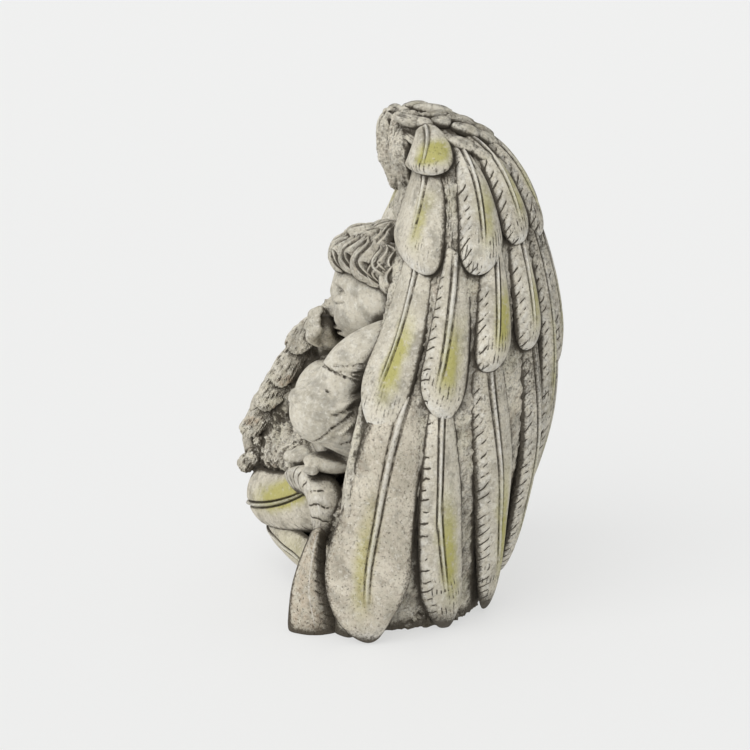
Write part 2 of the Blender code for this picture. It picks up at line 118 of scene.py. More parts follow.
def wing_point(across, along, side):
    """The skin of a wing, side 1 for the left and -1 for the right: a quarter of an ellipse
    from the cleft to the widest line, then a bow to the front edge, dished at the cleft. A
    bell curve along the right wing draws its front part back."""
    across, along = np.broadcast_arrays(np.asarray(across, float), np.asarray(along, float))
    back, widest = stations(WING_BACK, along), stations(WING_SIDE, along)
    edge = stations(LEFT_FRONT if side > 0 else RIGHT_FRONT, along)
    turn = np.clip(across / SIDE_SHARE, -0.3, 1.0) * math.pi / 2
    rise = 1 - np.cos(turn)
    rear = back + (widest - back) * np.stack([np.sin(turn), rise, rise], -1)
    g = np.clip((across - SIDE_SHARE) / (1 - SIDE_SHARE), 0.0, 1.3)[..., None]
    handle = np.stack([widest[..., 0], 0.35 * widest[..., 1] + 0.65 * edge[..., 1],
                       0.5 * (widest[..., 2] + edge[..., 2])], -1)
    front = (1 - g) ** 2 * widest + 2 * g * (1 - g) * handle + g * g * edge
    point = np.where((across < SIDE_SHARE)[..., None], rear, front)
    point[..., 1] -= CLEFT_DEPTH * np.exp(-((point[..., 0] / CLEFT_WIDTH) ** 2))
    if side < 0:
        beside_crown = np.exp(-(((along - DRAWN_AT) / DRAWN_OVER) ** 2))
        point[..., 1] += DRAWN_BACK * beside_crown * rise_to(0.10, SIDE_SHARE, across)
    point[..., 0] *= side
    return point


def unit(vectors):
    """The vectors, each divided by its length."""
    return vectors / np.maximum(np.linalg.norm(vectors, axis=-1, keepdims=True), 1e-9)


def wing_frame(across, along, side):
    """The skin's point and its outward normal, the cross product of its two slopes."""
    step = 1e-3
    low, high = np.clip(along - step, 0, 1), np.clip(along + step, 0, 1)
    over = wing_point(across + step, along, side) - wing_point(across - step, along, side)
    down = wing_point(across, high, side) - wing_point(across, low, side)
    return wing_point(across, along, side), unit(np.cross(over, down)) * side


def blade_section(columns, under=9):
    """Shares across a blade, out over its top and back under it, and which of them are on
    top. On top they stand closest at the shaft: 0.6 s + 0.4 s^3 of an even s."""
    s = np.linspace(-1, 1, columns)
    top = 0.6 * s + 0.4 * s**3
    below = np.linspace(1, -1, under + 2)[1:-1]
    return np.concatenate([top, below]), np.concatenate([np.ones(columns), np.zeros(under)])


def blade_outline(t, turn_in=0.78, power=2.2):
    """Half widths of a blade as a share of its widest: 0.8 at the quill, swelling by a sine,
    and closed by the root of 1 - q^power, where q runs from turn_in to the tip."""
    swell = 0.80 + 0.20 * np.sin(np.clip(t / 0.7, 0, 1) * math.pi / 2)
    q = np.clip((t - turn_in) / (1 - turn_in), 0, 1)
    close = np.sqrt(np.clip(1 - q**power, 0, 1))
    return swell, close * np.sqrt(np.clip(t / 0.05, 0, 1))


def blade_relief(share, off, t, close, shaft, on_top):
    """Height over the blade's middle sheet. The top is a crown, 0.72 (1 - u^2) and
    0.28 (1 - u^2)^0.3 of its thickness, with the shaft as a ridge between two grooves, each
    a bell curve, both fading before the tip. The underside is half as thick."""
    u = np.clip(np.abs(share), 0, 1)
    crown = 0.28 * (1 - u**2) ** 0.3 + 0.72 * (1 - u**2)
    line = rise_to(0.02, 0.10, t) * (1 - rise_to(0.70, 0.90, t)) * (shaft > 0)
    gap = max(shaft, 0.3) * (1.25 - 0.75 * t)
    ridge = 0.55 * np.exp(-((off / (0.62 * gap)) ** 2))
    groove = 0.75 * np.exp(-(((np.abs(off) - gap) / (0.33 * gap + 0.1)) ** 2))
    top = BLADE * crown * close + (ridge - groove) * line * close
    return np.where(on_top > 0, top, -0.5 * BLADE * (1 - u**2) ** 0.4 * close)


def blade_marks(share, off, run, t, on_top, stain, painted_shade):
    """What the paint needs to know about each point of a blade, and about all of it."""
    marks = dict(zip(("share", "off", "run", "tip", "top"),
                     np.broadcast_arrays(share, off, run, t, on_top)))
    return dict(marks, tone=dice.uniform(-1, 1), stain=stain, painted_shade=painted_shade,
                patch=dice.uniform(0, 40))


def wing_blade(side, root, tip, share, lift=(-3.4, 0.8), depth=0.0, shaft=1.0, stain=0.7,
               rows=66, columns=38, curl=1.0, lean=0.0, painted_shade=0.0):
    """One blade on a wing's skin: the wing's own point at root + (tip - root) t along, and
    the same with t^curl across, pushed out along the normal by the lift and the relief. The
    shaft crosses it by lean (2t - 1.1) millimetres."""
    t = (1 - (1 - np.linspace(0, 1, rows)) ** 1.5)[:, None]
    u, on_top = blade_section(columns)
    swell, close = blade_outline(t)
    centre = root[0] + (tip[0] - root[0]) * t**curl
    across = centre + u * 0.5 * share * swell * close
    inside = np.clip(across, -0.08, 1.0)
    along = root[1] + (tip[1] - root[1]) * t + 0 * u
    middle, _ = wing_frame(centre[:, 0], np.clip(along[:, 0], 0, 1), side)
    run = np.concatenate([[0], np.cumsum(np.linalg.norm(np.diff(middle, axis=0), axis=1))])
    point, normal = wing_frame(inside, np.clip(along, 0, 1), side)
    spine = wing_point(centre + 0 * u, np.clip(along, 0, 1), side)
    off = np.sign(u) * np.linalg.norm(point - spine, axis=-1) - lean * (2 * t - 1.1)
    relief = blade_relief(u, off, t, close, shaft, on_top)
    height = lift[0] + (lift[1] - lift[0]) * t + relief
    if depth:
        height = -depth - height
    point = point + normal * height[..., None]
    point[..., 2] -= np.clip(along - 1, 0, None) * PAST_GROUND
    return point, blade_marks(u, off, run[:, None], t, on_top, stain, painted_shade)


def casting(name, sheets, paint):
    """One object from closed sheets, each rows x columns of points in millimetres whose
    columns wrap round and whose first and last rows are closed onto their middles. A sheet
    with a negative enclosed volume, the sum of p1 . (p2 x p3) / 6, is turned round, and all
    of them end level on the ground."""
    spots, quads, caps, marks, base = [], [], [], {}, 0
    for points, values in sheets:
        rows, columns = points.shape[:2]
        index = base + np.arange(rows * columns).reshape(rows, columns)
        beside = np.roll(index, -1, axis=1)
        four = np.stack([index[:-1], beside[:-1], beside[1:], index[1:]], -1).reshape(-1, 4)
        first, last = base + rows * columns, base + rows * columns + 1
        three = np.vstack([
            np.stack([beside[0], index[0], np.full(columns, first)], -1),
            np.stack([index[-1], beside[-1], np.full(columns, last)], -1)])
        flat = np.vstack([points.reshape(-1, 3), points[0].mean(0), points[-1].mean(0)])
        threes = np.vstack([four[:, :3], four[:, [0, 2, 3]], three]) - base
        corner = (flat - flat.mean(0))[threes]
        if np.sum(corner[:, 0] * np.cross(corner[:, 1], corner[:, 2])) < 0:
            four, three = four[:, ::-1], three[:, ::-1]
        spots.append(flat)
        quads.append(four)
        caps.append(three)
        for key, value in values.items():
            value = np.broadcast_to(value, (rows, columns))
            ends = [value[0].mean(), value[-1].mean()]
            marks.setdefault(key, []).append(np.concatenate([value.ravel(), ends]))
        base += len(flat)
    spots = (np.vstack(spots) + AXIS) * MM
    spots[:, 2] = np.maximum(spots[:, 2], 0)
    mesh = bpy.data.meshes.new(name)
    mesh.from_pydata(spots, [], np.vstack(quads).tolist() + np.vstack(caps).tolist())
    for key, value in marks.items():
        layer = mesh.attributes.new(key, "FLOAT", "POINT")
        layer.data.foreach_set("value", np.concatenate(value).astype(np.float32))
    mesh.shade_smooth()
    made = bpy.data.objects.new(name, mesh)
    bpy.context.scene.collection.objects.link(made)
    mesh.materials.append(paint)
    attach(made, "root")
    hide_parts("cherub_figurine")
    return made


class Wire:
    """A value on its way through a shader tree. The signs + - * / and abs() place a Math
    node on it, with another wire or a number."""

    def __init__(self, tree, socket):
        self.tree, self.socket = tree, socket

    def __add__(self, other):
        return calc("ADD", self, other)

    def __sub__(self, other):
        return calc("SUBTRACT", self, other)

    def __rsub__(self, other):
        return calc("SUBTRACT", other, self)

    def __mul__(self, other):
        return calc("MULTIPLY", self, other)

    def __truediv__(self, other):
        return calc("DIVIDE", self, other)

    def __abs__(self):
        return calc("ABSOLUTE", self)


def feed(value, socket):
    """Joins a wire to the socket, or sets a number or a colour on it."""
    if isinstance(value, Wire):
        value.tree.links.new(value.socket, socket)
    else:
        socket.default_value = value


def calc(operation, *values):
    """A Math node on wires or numbers, of which one at least is a wire."""
    tree = next(value.tree for value in values if isinstance(value, Wire))
    node = tree.nodes.new("ShaderNodeMath")
    node.operation = operation
    for socket, value in zip(node.inputs, values):
        feed(value, socket)
    return Wire(tree, node.outputs[0])


def largest(first, *others):
    """The greatest of the wires at each spot."""
    for other in others:
        first = calc("MAXIMUM", first, other)
    return first


def step_up(value, low, high, top=1.0):
    """0 where the value is under low, rising smoothly to top where it is over high."""
    node = value.tree.nodes.new("ShaderNodeMapRange")
    node.interpolation_type = "SMOOTHSTEP"
    for key, number in (("Value", value), ("From Min", low), ("From Max", high),
                        ("To Min", 0), ("To Max", top)):
        feed(number, node.inputs[key])
    return Wire(value.tree, node.outputs["Result"])


def step_down(value, low, high):
    """1 where the value is under low, falling smoothly to 0 where it is over high."""
    return 1 - step_up(value, low, high)


def blotches(place, scale, detail=4.0, rough=0.55):
    """A Noise node's value, in blotches of about 1 / scale metres."""
    node = place.tree.nodes.new("ShaderNodeTexNoise")
    for key, value in (("Vector", place), ("Scale", scale), ("Detail", detail),
                       ("Roughness", rough)):
        feed(value, node.inputs[key])
    return Wire(place.tree, node.outputs["Fac"])


def tint(amount, under, colour):
    """The colour laid over what is under it, by the amount."""
    node = amount.tree.nodes.new("ShaderNodeMix")
    node.data_type = "RGBA"
    for key, value in (("Factor", amount), ("A", under), ("B", colour)):
        socket = next(s for s in node.inputs if s.name == key and s.enabled)
        feed(value if isinstance(value, Wire) else (*value, 1.0), socket)
    return Wire(amount.tree, next(s for s in node.outputs if s.enabled))


def new_group(name, inputs, outputs):
    """An empty shader node group: its tree, its inputs as wires, and its output sockets."""
    tree = bpy.data.node_groups.new(name, "ShaderNodeTree")
    for key in inputs:
        tree.interface.new_socket(key, in_out="INPUT", socket_type="NodeSocketFloat")
    for key in outputs:
        kind = "NodeSocketColor" if key == "Color" else "NodeSocketFloat"
        tree.interface.new_socket(key, in_out="OUTPUT", socket_type=kind)
    given = tree.nodes.new("NodeGroupInput").outputs
    wires = {key: Wire(tree, given[key]) for key in inputs}
    return tree, wires, tree.nodes.new("NodeGroupOutput").inputs


def object_place(tree):
    """The place in the object, in metres."""
    return Wire(tree, tree.nodes.new("ShaderNodeTexCoord").outputs["Object"])


# The dirt colour is also laid as painted shade. The darkest colour is both the dark patina of cuts
# and pits and painted shade in closed-in places.
STONE, STONE_IN_CLOUDS = (0.67, 0.62, 0.51), (0.49, 0.45, 0.36)
PALE_GRAIN, GREY_FILM, DIRT = (0.78, 0.75, 0.66), (0.27, 0.25, 0.205), (0.235, 0.20, 0.155)
CHALK, RUBBED = (0.83, 0.80, 0.72), (0.80, 0.785, 0.735)
YELLOW_GREEN, RUST, DARK_PATINA_AND_SHADE = (0.43, 0.40, 0.10), (0.36, 0.20, 0.075), (0.055, 0.044, 0.030)


def aged_stone_group():
    """Cast stone with a brushed-on patina, laid in this order: warm grey in clouds, pale grain, a
    grey film, blotchy dirt, chalky specks, yellow-green and rust stains, whitened Worn edges, and a
    dark patina in fine pits. The first input carries the dark patina of carved cuts and painted
    shade. Where it is high, the dirt thickens and the dark patina spreads: partly the stone's own
    patina, partly painted shade in closed-in places."""
    tree, given, out = new_group(
        "aged_stone", ("Hollow", "Worn", "Stain", "Rust", "Pitting", "Tone"),
        ("Color", "Roughness", "Height"))
    place = object_place(tree)
    grain = blotches(place, 420, 6, 0.65)
    speck = blotches(place, 1300, 3, 0.6)
    colour = tint(step_up(blotches(place, 55, 5), 0.36, 0.66), STONE, STONE_IN_CLOUDS)
    light = given["Tone"] * 0.10 + 0.5 + (grain - 0.5) * 1.6
    colour = tint(step_up(light, 0.40, 0.90, 0.65), colour, PALE_GRAIN)
    film = blotches(place, 130, 5, 0.6) - 0.5
    colour = tint(step_up(film, 0.0, 0.16, 0.6), colour, GREY_FILM)
    # Dirt in blotches everywhere, thicker where the first input is high. That extra dirt is partly
    # painted shade.
    dirt_and_shade = calc("MINIMUM", given["Hollow"] * 1.5 + 0.36, 0.75)
    colour = tint(step_up(blotches(place, 780, 4, 0.7), 0.50, 0.64) * dirt_and_shade, colour, DIRT)
    colour = tint(step_up(blotches(place, 620, 5, 0.7), 0.54, 0.66, 0.5), colour, CHALK)
    stain = calc("MINIMUM", given["Stain"] * step_up(grain, 0.22, 0.52), 0.85)
    colour = tint(stain, colour, YELLOW_GREEN)
    colour = tint(given["Rust"] * step_up(grain, 0.35, 0.7) * 0.7, colour, RUST)
    colour = tint(given["Worn"] * step_up(grain, 0.30, 0.60) * 0.8, colour, RUBBED)
    pits = step_up(speck, 0.60, 0.70) * given["Pitting"]
    # The darkest colour: the dark patina in the pits and carved cuts, and painted shade in
    # closed-in places where the first input carries it.
    broken = given["Hollow"] + (grain - 0.5) * 0.9 + (speck - 0.5) * 0.9
    patina_and_shade = largest(step_up(broken, 0.24, 0.74), pits * 0.8)
    feed(tint(patina_and_shade * 0.93, colour, DARK_PATINA_AND_SHADE), out["Color"])
    feed(grain * 0.2 + 0.72, out["Roughness"])
    feed(grain * 0.55 + blotches(place, 2600, 2) * 0.12 - pits * 0.25, out["Height"])
    return tree


BARB_SPACING, STRAND_SPACING = 3.9, 0.95    # millimetres


def blade_marks_group():
    """The carving on a blade, from the distance off its shaft and the run along it, both in
    millimetres. Grooves stand beside the shaft and the Ridge is its top. Barbs are slanting
    cuts near one edge, a fraction of run + slant x off, with a Swell between each two.
    Streaks fan out near the tip, a fraction of off over a width that grows. Wash is the
    stain beside the shaft, Rim the tip's edge and Side the two long edges."""
    tree, given, out = new_group(
        "blade_carving", ("Off", "Run", "Share", "Tip", "Top", "Shaft", "Patch", "Slant",
                          "Inner", "Spread"),
        ("Grooves", "Ridge", "Barbs", "Swell", "Streaks", "Wash", "Rim", "Side"))
    off, run, share, tip = (given[key] for key in ("Off", "Run", "Share", "Tip"))
    flat = tree.nodes.new("ShaderNodeCombineXYZ")
    for key, value in (("X", off * MM), ("Y", run * MM), ("Z", given["Patch"])):
        feed(value, flat.inputs[key])
    flat = Wire(tree, flat.outputs[0])
    wobble = blotches(flat, 120, 3) - 0.5
    breaks = blotches(flat, 330, 2)
    above = step_up(given["Top"], 0.5, 0.9)

    line = step_up(tip, 0.02, 0.10) * step_down(tip, 0.68, 0.86) * above
    gap = given["Shaft"] * (tip * -0.75 + 1.25)
    bent = off + wobble * 0.5
    groove = step_down(abs(abs(bent) - gap), 0.08, 0.42)
    feed(groove * line * step_up(breaks, 0.30, 0.55), out["Grooves"])
    feed(step_down(abs(bent) / gap, 0.35, 0.8) * line, out["Ridge"])

    turns = (run + off * given["Slant"] + wobble * 4.5) / BARB_SPACING
    phase = abs(calc("FRACT", turns) - 0.5)
    band = step_up(share - given["Inner"], 0.0, 0.2) * step_down(share, 0.97, 1.0)
    band = band * step_up(tip, 0.04, 0.12) * above
    feed(step_up(phase, 0.0, 0.40) * band, out["Swell"])
    feed(step_down(phase, 0.035, 0.115) * band * step_up(breaks, 0.40, 0.52), out["Barbs"])

    fan = off / (tip * 1.2 + 0.5) / STRAND_SPACING + wobble * 1.1
    strand = step_down(abs(calc("FRACT", fan) - 0.5), 0.05, 0.24)
    near_tip = step_up(tip, 0.68, 0.82) * step_down(tip, 0.95, 0.99) * above
    feed(strand * near_tip * step_up(breaks, 0.44, 0.60), out["Streaks"])

    beside = abs(off + wobble * 6.0 + 2.2) / given["Spread"]
    lower = step_up(tip, 0.34, 0.66) * step_down(tip, 0.70, 0.93)
    feed(step_down(beside, 0.08, 1.0) * lower * above, out["Wash"])
    feed(step_up(tip, 0.90, 0.985) * above, out["Rim"])
    side = step_up(abs(share), 0.74, 0.98) * step_down(tip, 0.80, 0.95)
    feed(side * above, out["Side"])
    return tree


aged_stone = aged_stone_group()
blade_carving = blade_marks_group()


def new_paint(name):
    """A new material and its node tree."""
    paint = bpy.data.materials.new(name)
    paint.use_nodes = True
    return paint, paint.node_tree


def place_group(tree, group, **values):
    """The group as a node of this material, fed with those wires or numbers. Returns what
    it puts out, by name."""
    node = tree.nodes.new("ShaderNodeGroup")
    node.node_tree = group
    for key, value in values.items():
        feed(value, node.inputs[key])
    return {socket.name: Wire(tree, socket) for socket in node.outputs}


def crevice_shade(tree, reach, low, high):
    """How closed in the surface is, within that reach in metres, as a mask. The paints lay painted
    shade by it, along with the stone's dark patina.
    """
    node = tree.nodes.new("ShaderNodeAmbientOcclusion")
    node.samples = 8
    node.inputs["Distance"].default_value = reach
    return step_up(1 - Wire(tree, node.outputs["AO"]), low, high)


def mark(tree, key):
    """A value carried by the mesh, 0 where the mesh has none."""
    node = tree.nodes.new("ShaderNodeAttribute")
    node.attribute_name = key
    return Wire(tree, node.outputs["Fac"])


def finish_paint(tree, stone, height):
    """Feeds the stone's colour and the height, in millimetres, to a matt surface."""
    shader = tree.nodes["Principled BSDF"]
    shader.inputs["Specular IOR Level"].default_value = 0.25
    bump = tree.nodes.new("ShaderNodeBump")
    bump.inputs["Strength"].default_value = 1.0
    bump.inputs["Distance"].default_value = MM
    feed(height, bump.inputs["Height"])
    feed(Wire(tree, bump.outputs["Normal"]), shader.inputs["Normal"])
    feed(stone["Color"], shader.inputs["Base Color"])
    feed(stone["Roughness"], shader.inputs["Roughness"])


def feather_paint(name, shaft, barbs, hollow, stain, rust=0.0, pitting=0.35, grooves=0.7,
                  slant=-0.85, inner=0.25, spread=5.5, strands=0.65):
    """Painted stone for blades: shaft is the ridge's half width in millimetres, and the barbs slant
    by that much and start at the inner share of the blade's half width. The stain spreads that many
    millimetres beside the shaft. The others are strengths. The one after barbs is the strength of
    the painted shade in closed-in places."""
    paint, tree = new_paint(name)
    carried = {key: mark(tree, key.lower())
               for key in ("Off", "Run", "Share", "Tip", "Top", "Patch")}
    carved = place_group(tree, blade_carving, Shaft=shaft, Slant=slant, Inner=inner,
                         Spread=spread, **carried)
    cut = largest(carved["Grooves"] * grooves, carved["Barbs"] * barbs,
                  carved["Streaks"] * strands)
    # Painted shade, together with the stone's dark patina. It is darker where the surface is closed
    # in, along the two long edges where a blade dips under its neighbours, towards the quill under
    # the row above, and wherever the mesh carries painted shade. The carved cuts take only the dark
    # patina.
    closed = largest(crevice_shade(tree, 0.005, 0.10, 0.55), crevice_shade(tree, 0.016, 0.18, 0.78) * 0.8)
    quill = step_down(carried["Tip"], 0.0, 0.5)
    closed = closed + carved["Side"] * 0.50 + quill * 0.24 + mark(tree, "painted_shade")
    swell = carved["Swell"] * barbs
    worn = largest(carved["Rim"] * 0.8, carved["Ridge"] * 0.6, swell * 0.35)
    stone = place_group(
        tree, aged_stone, Hollow=largest(cut, closed * hollow), Worn=worn,
        Stain=carved["Wash"] * stain * mark(tree, "stain"), Rust=rust, Pitting=pitting,
        Tone=mark(tree, "tone"))
    finish_paint(tree, stone, stone["Height"] + swell * 0.3 - cut * 0.55)
    return paint


def wing_rows(side):
    """The blades of one wing, each shifted a little off its drawn place: the smooth front ones, and
    row by row the others, of which the longest bend towards the cleft as they near the ground. The
    blades near the cleft carry painted shade, darker towards the back. The wide ones have a thicker
    shaft that slants more, and the right wing's front ones are set further back."""
    smooth, made = [], []
    for row, root in zip((SHORT_ROW, MIDDLE_ROW), ROW_ROOTS):
        for across, along, share in row:
            nudge = dice.uniform(-NUDGE, NUDGE, 2)
            front = across > 0.8
            if side < 0 and front:
                across -= FRONT_SET_BACK
            start = (across * ROOT_DRAW, min(root, along - LEAST_RUN))
            end = (across + nudge[0], along + nudge[1] * 0.5)
            (smooth if front else made).append(wing_blade(
                side, start, end, share * 0.96, stain=dice.uniform(0.5, 1.1), lean=8 * share,
                shaft=0.7 + 1.8 * share, painted_shade=0.28 * rise_to(0.50, 0.15, across)))
    for (across, along, share), start in zip(LONG_ROW, LONG_ROOTS):
        made.append(wing_blade(side, (start, ROW_ROOTS[2]), (across, along), share,
                               lift=(-3.0, 2.4), stain=dice.uniform(0.5, 1.0), curl=1.6,
                               painted_shade=0.25 * rise_to(0.40, 0.10, across)))
    return smooth, made


wing_paint = feather_paint("feather_stone", 1.0, 1.0, 1.15, 1.0, inner=0.42)
smooth_paint = feather_paint("front_feather_stone", 1.0, 0.12, 1.2, 1.1, strands=0.45)
left_front, left_rows = wing_rows(1)
right_front, right_rows = wing_rows(-1)
casting("front_feathers", left_front + right_front, smooth_paint)
casting("wing_feathers_left", left_rows, wing_paint)
casting("wing_feathers_right", right_rows, wing_paint)

# ---------------------------------------------------------------------------------------
# The crest, cast with the wings. Where each wing folds at the top a roll runs along its
# leading edge, a round petal hangs below it, and short plump lobes overlap down and back
# over the quills.
PETAL = ((0.64, 0.10), (0.77, 0.25), 0.38)      # root, tip, width as a share of the way round
# Lobes: places at the root and the tip across and along the wing, width, thickness, lift
LOBES = (
    ((0.55, 0.155), (0.40, 0.218), 5.6, 6.0, 0.8), ((0.42, 0.205), (0.33, 0.262), 4.8, 5.0, 0.3),
    ((0.36, 0.135), (0.26, 0.195), 5.4, 6.0, 0.8), ((0.26, 0.180), (0.17, 0.245), 5.2, 5.6, 0.6),
    ((0.20, 0.235), (0.11, 0.300), 4.8, 5.0, 0.3), ((0.24, 0.105), (0.14, 0.175), 5.6, 6.0, 0.9),
    ((0.14, 0.160), (0.07, 0.240), 5.4, 5.6, 0.6), ((0.48, 0.085), (0.34, 0.120), 5.2, 5.6, 0.7),
    ((0.30, 0.050), (0.18, 0.105), 5.6, 6.0, 0.6), ((0.14, 0.060), (0.07, 0.140), 5.6, 6.0, 0.4),
    ((0.70, 0.055), (0.56, 0.098), 5.0, 5.0, 0.7), ((0.32, 0.245), (0.26, 0.305), 4.4, 4.4, 0.2),
    ((0.50, 0.235), (0.45, 0.285), 4.2, 4.2, 0.2),
)
# Rolls of the left crest: centre, heading, and length, width and thickness
ROLLS = (((15, -4.2, 181.8), (3, 12, -3.8), (14.0, 5.4, 5.2)),
         ((15.5, -3.5, 175.5), (11, 6, -4), (12, 5, 4.5)), ((9, -7.0, 171), (1, 1, -9), (18, 6, 5)))
RIGHT_ROLL_SHIFT = (0, 4, -2)   # those of the right crest lie further back and lower
LOBE_FACING, ROLL_FACING = (0.45, 0.25, 0.85), (0.5, -0.5, 0.7)
LOBE_OVERLAP = 1.5              # millimetres that a lobe is longer than its drawn run


def free_blade(route, thick, shaft, stain, flip=1, rows=110, columns=44, turn_in=0.78,
               power=2.2, lean=0.0, painted_shade=0.0):
    """A blade along a curve in open space. The route's centres, widths and facings are each
    a smooth curve, and across it runs along flip x the cross product of its heading and
    facing. Its relief is thick times a wing blade's, and its shaft crosses it by
    lean (2t - 1.1) millimetres."""
    centres, widths, facings = route
    t = (1 - (1 - np.linspace(0, 1, rows)) ** 1.4)[:, None]
    u, on_top = blade_section(columns)
    _, close = blade_outline(t, turn_in, power)
    spot = stations(centres, t[:, 0])
    ahead = unit(stations(centres, t[:, 0] + 0.01) - stations(centres, t[:, 0] - 0.01))
    facing = stations(facings, t[:, 0])
    facing = unit(facing - ahead * np.sum(facing * ahead, axis=1, keepdims=True))
    wide = np.cross(ahead, facing) * flip
    half = 0.5 * stations(np.array(widths, float)[:, None], t[:, 0]) * close
    beside = half * u
    off = beside - lean * (2 * t - 1.1)
    run = np.concatenate([[0], np.cumsum(np.linalg.norm(np.diff(spot, axis=0), axis=1))])
    relief = blade_relief(u, off, t, close, shaft, on_top) * thick
    point = (spot[:, None] + wide[:, None] * beside[..., None]
             + facing[:, None] * relief[..., None])
    return point, blade_marks(u, off, run[:, None], t, on_top, stain, painted_shade)


def globe(rows, columns):
    """Latitudes down a sphere, as a column, and longitudes round it, as a row."""
    return (np.linspace(0.02, math.pi - 0.02, rows)[:, None],
            np.linspace(0, 2 * math.pi, columns, endpoint=False)[None])


def plump_lobe(centre, ahead, facing, size, rows=24, columns=36):
    """An oval lobe of that length, width and thickness: a sphere stretched along its heading,
    blunt at the ends, drawn narrower towards its root, and ridged lengthwise by a cosine."""
    ahead, facing = unit(np.array(ahead, float)), np.array(facing, float)
    facing = unit(facing - ahead * (facing @ ahead))
    lat, lon = globe(rows, columns)
    along = -np.cos(lat) + 0 * lon
    ring = np.sin(lat) ** 0.65 * (0.86 + 0.14 * along)
    wide, deep = ring * np.cos(lon), ring * np.sin(lon)
    ridge = 1 + 0.16 * np.cos(9 * np.pi * wide) * (1 - wide**2)
    frame = np.stack([ahead, np.cross(facing, ahead), facing])
    local = np.stack([along * size[0], wide * size[1], deep * ridge * size[2]], -1) * 0.5
    return np.array(centre, float) + local @ frame, {"tone": dice.uniform(-0.6, 0.8)}


def crest_lobe(side, root, tip, width, thick, lift):
    """A plump lobe between two places on the wing's skin, sunk or raised by the lift."""
    start, end = (wing_point(np.array(place[0]), np.array(place[1]), side)
                  for place in (root, tip))
    normal = np.array(LOBE_FACING) * (side, 1, 1)
    middle = 0.5 * (start + end) + unit(normal) * lift
    return plump_lobe(middle, end - start, normal,
                      (np.linalg.norm(end - start) + LOBE_OVERLAP, width, thick))


def plain_paint(name, hollow, pitting, stain=0.0, rust=0.0, painted_shade=0.0):
    """Painted stone with no carving of its own. Its first strength sets how dark the closed-in
    places are, as painted shade with the stone's dark patina. Its last strength lays painted shade
    evenly over the whole piece. Stains and rust lie in patches a centimetre across."""
    paint, tree = new_paint(name)
    place = object_place(tree)
    closed = crevice_shade(tree, 0.006, 0.08, 0.50) * hollow
    stone = place_group(
        tree, aged_stone, Hollow=closed + mark(tree, "painted_shade") + painted_shade, Worn=0.12,
        Stain=step_up(blotches(place, 75, 3), 0.50, 0.66) * stain,
        Rust=step_up(blotches(place, 95, 3, 0.7), 0.55, 0.66) * rust,
        Pitting=pitting, Tone=mark(tree, "tone"))
    finish_paint(tree, stone, stone["Height"])
    return paint


petal_paint = feather_paint("petal_stone", 0.8, 0.0, 1.0, 1.0, pitting=0.6, grooves=0.35,
                            spread=7.0)
petals, lobes = [], []
for side in (1, -1):
    petals.append(wing_blade(side, *PETAL, lift=(-1.0, 2.2), shaft=0.5, stain=1.5))
    for root, tip, width, thick, lift in LOBES:
        lobes.append(crest_lobe(side, root, tip, width, thick, lift))
    for centre, heading, size in ROLLS:
        centre = np.array(centre) + (RIGHT_ROLL_SHIFT if side < 0 else (0, 0, 0))
        lobes.append(plump_lobe(*(np.array(row) * (side, 1, 1)
                                  for row in (centre, heading, ROLL_FACING)), size))
casting("wing_petals", petals, petal_paint)
# The crest's lobes carry a trace of painted shade evenly over them.
casting("wing_crest", lobes,
        plain_paint("lobe_stone", 1.2, 0.9, stain=0.15, rust=0.3, painted_shade=0.03))

# ---------------------------------------------------------------------------------------
# The wings' walls under the blades, about 8 mm thick with a rounded front edge. Their inner
# sides are carved with rows of small downy lobes, and between the wings the casting is full.
SHELL_SINK, SHELL_THICKNESS = 1.0, 8.0
EDGE_SHARE, PAST_CLEFT = 0.985, -0.08   # shares across where the walls turn and where they end
FILL_SHARES = (0.52, 0.52, 0.54, 0.68, 0.76, 0.60, 0.56, 0.56)  # how far round the fill goes
FILL_OVERLAP, FILL_TOP = 6.5, 0.12      # millimetres under the skin, and share along at its top
# Rows of lobes: shares along at the roots and the tips. Then the columns' shares across, the
# shift of every second row, a lobe's width, its root and tip from its column, and its jog
LOBE_ROWS = ((0.22, 0.36), (0.32, 0.47), (0.43, 0.57), (0.53, 0.67), (0.63, 0.78), (0.74, 0.88))
LOBE_COLUMNS, LOBE_STAGGER, LOBE_WIDTH = (0.955, 0.82, 0.69), 0.06, 0.17
LOBE_ROOT, LOBE_TIP, LOBE_JOG = -0.07, 0.01, 0.012


def ripples(points, size, seed):
    """A smooth irregular height from -1 to 1: nine sine waves in random directions."""
    waves = np.random.default_rng(seed)
    total = np.zeros(points.shape[:-1])
    for _ in range(9):
        way = unit(waves.normal(size=3)) * waves.uniform(0.6, 1.8) * 2 * math.pi / size
        total += np.sin(points @ way + waves.uniform(0, 6.3))
    return total / 4.5


def wing_wall(side, rows=165, outer=126, inner=60):
    """The wall as one closed section at every share along: out over the skin, round the
    front edge on a half circle, and back along the inner side."""
    along = np.linspace(0, 1, rows)[:, None]
    bend = np.linspace(0, math.pi, 9)[1:-1]
    across = np.concatenate([np.linspace(PAST_CLEFT, EDGE_SHARE, outer),
                             EDGE_SHARE + 0.022 * np.sin(bend),
                             np.linspace(EDGE_SHARE, PAST_CLEFT, inner)])
    depth = np.concatenate([np.zeros(outer), 0.5 - 0.5 * np.cos(bend), np.ones(inner)])
    skin, normal = wing_frame(across + 0 * along, along + 0 * across, side)
    rough = ripples(skin, 6.0, 3) * 0.42 + ripples(skin, 2.2, 4) * 0.50
    sink = SHELL_SINK + SHELL_THICKNESS * depth + rough
    return skin - normal * sink[..., None], {"tone": 0.0}


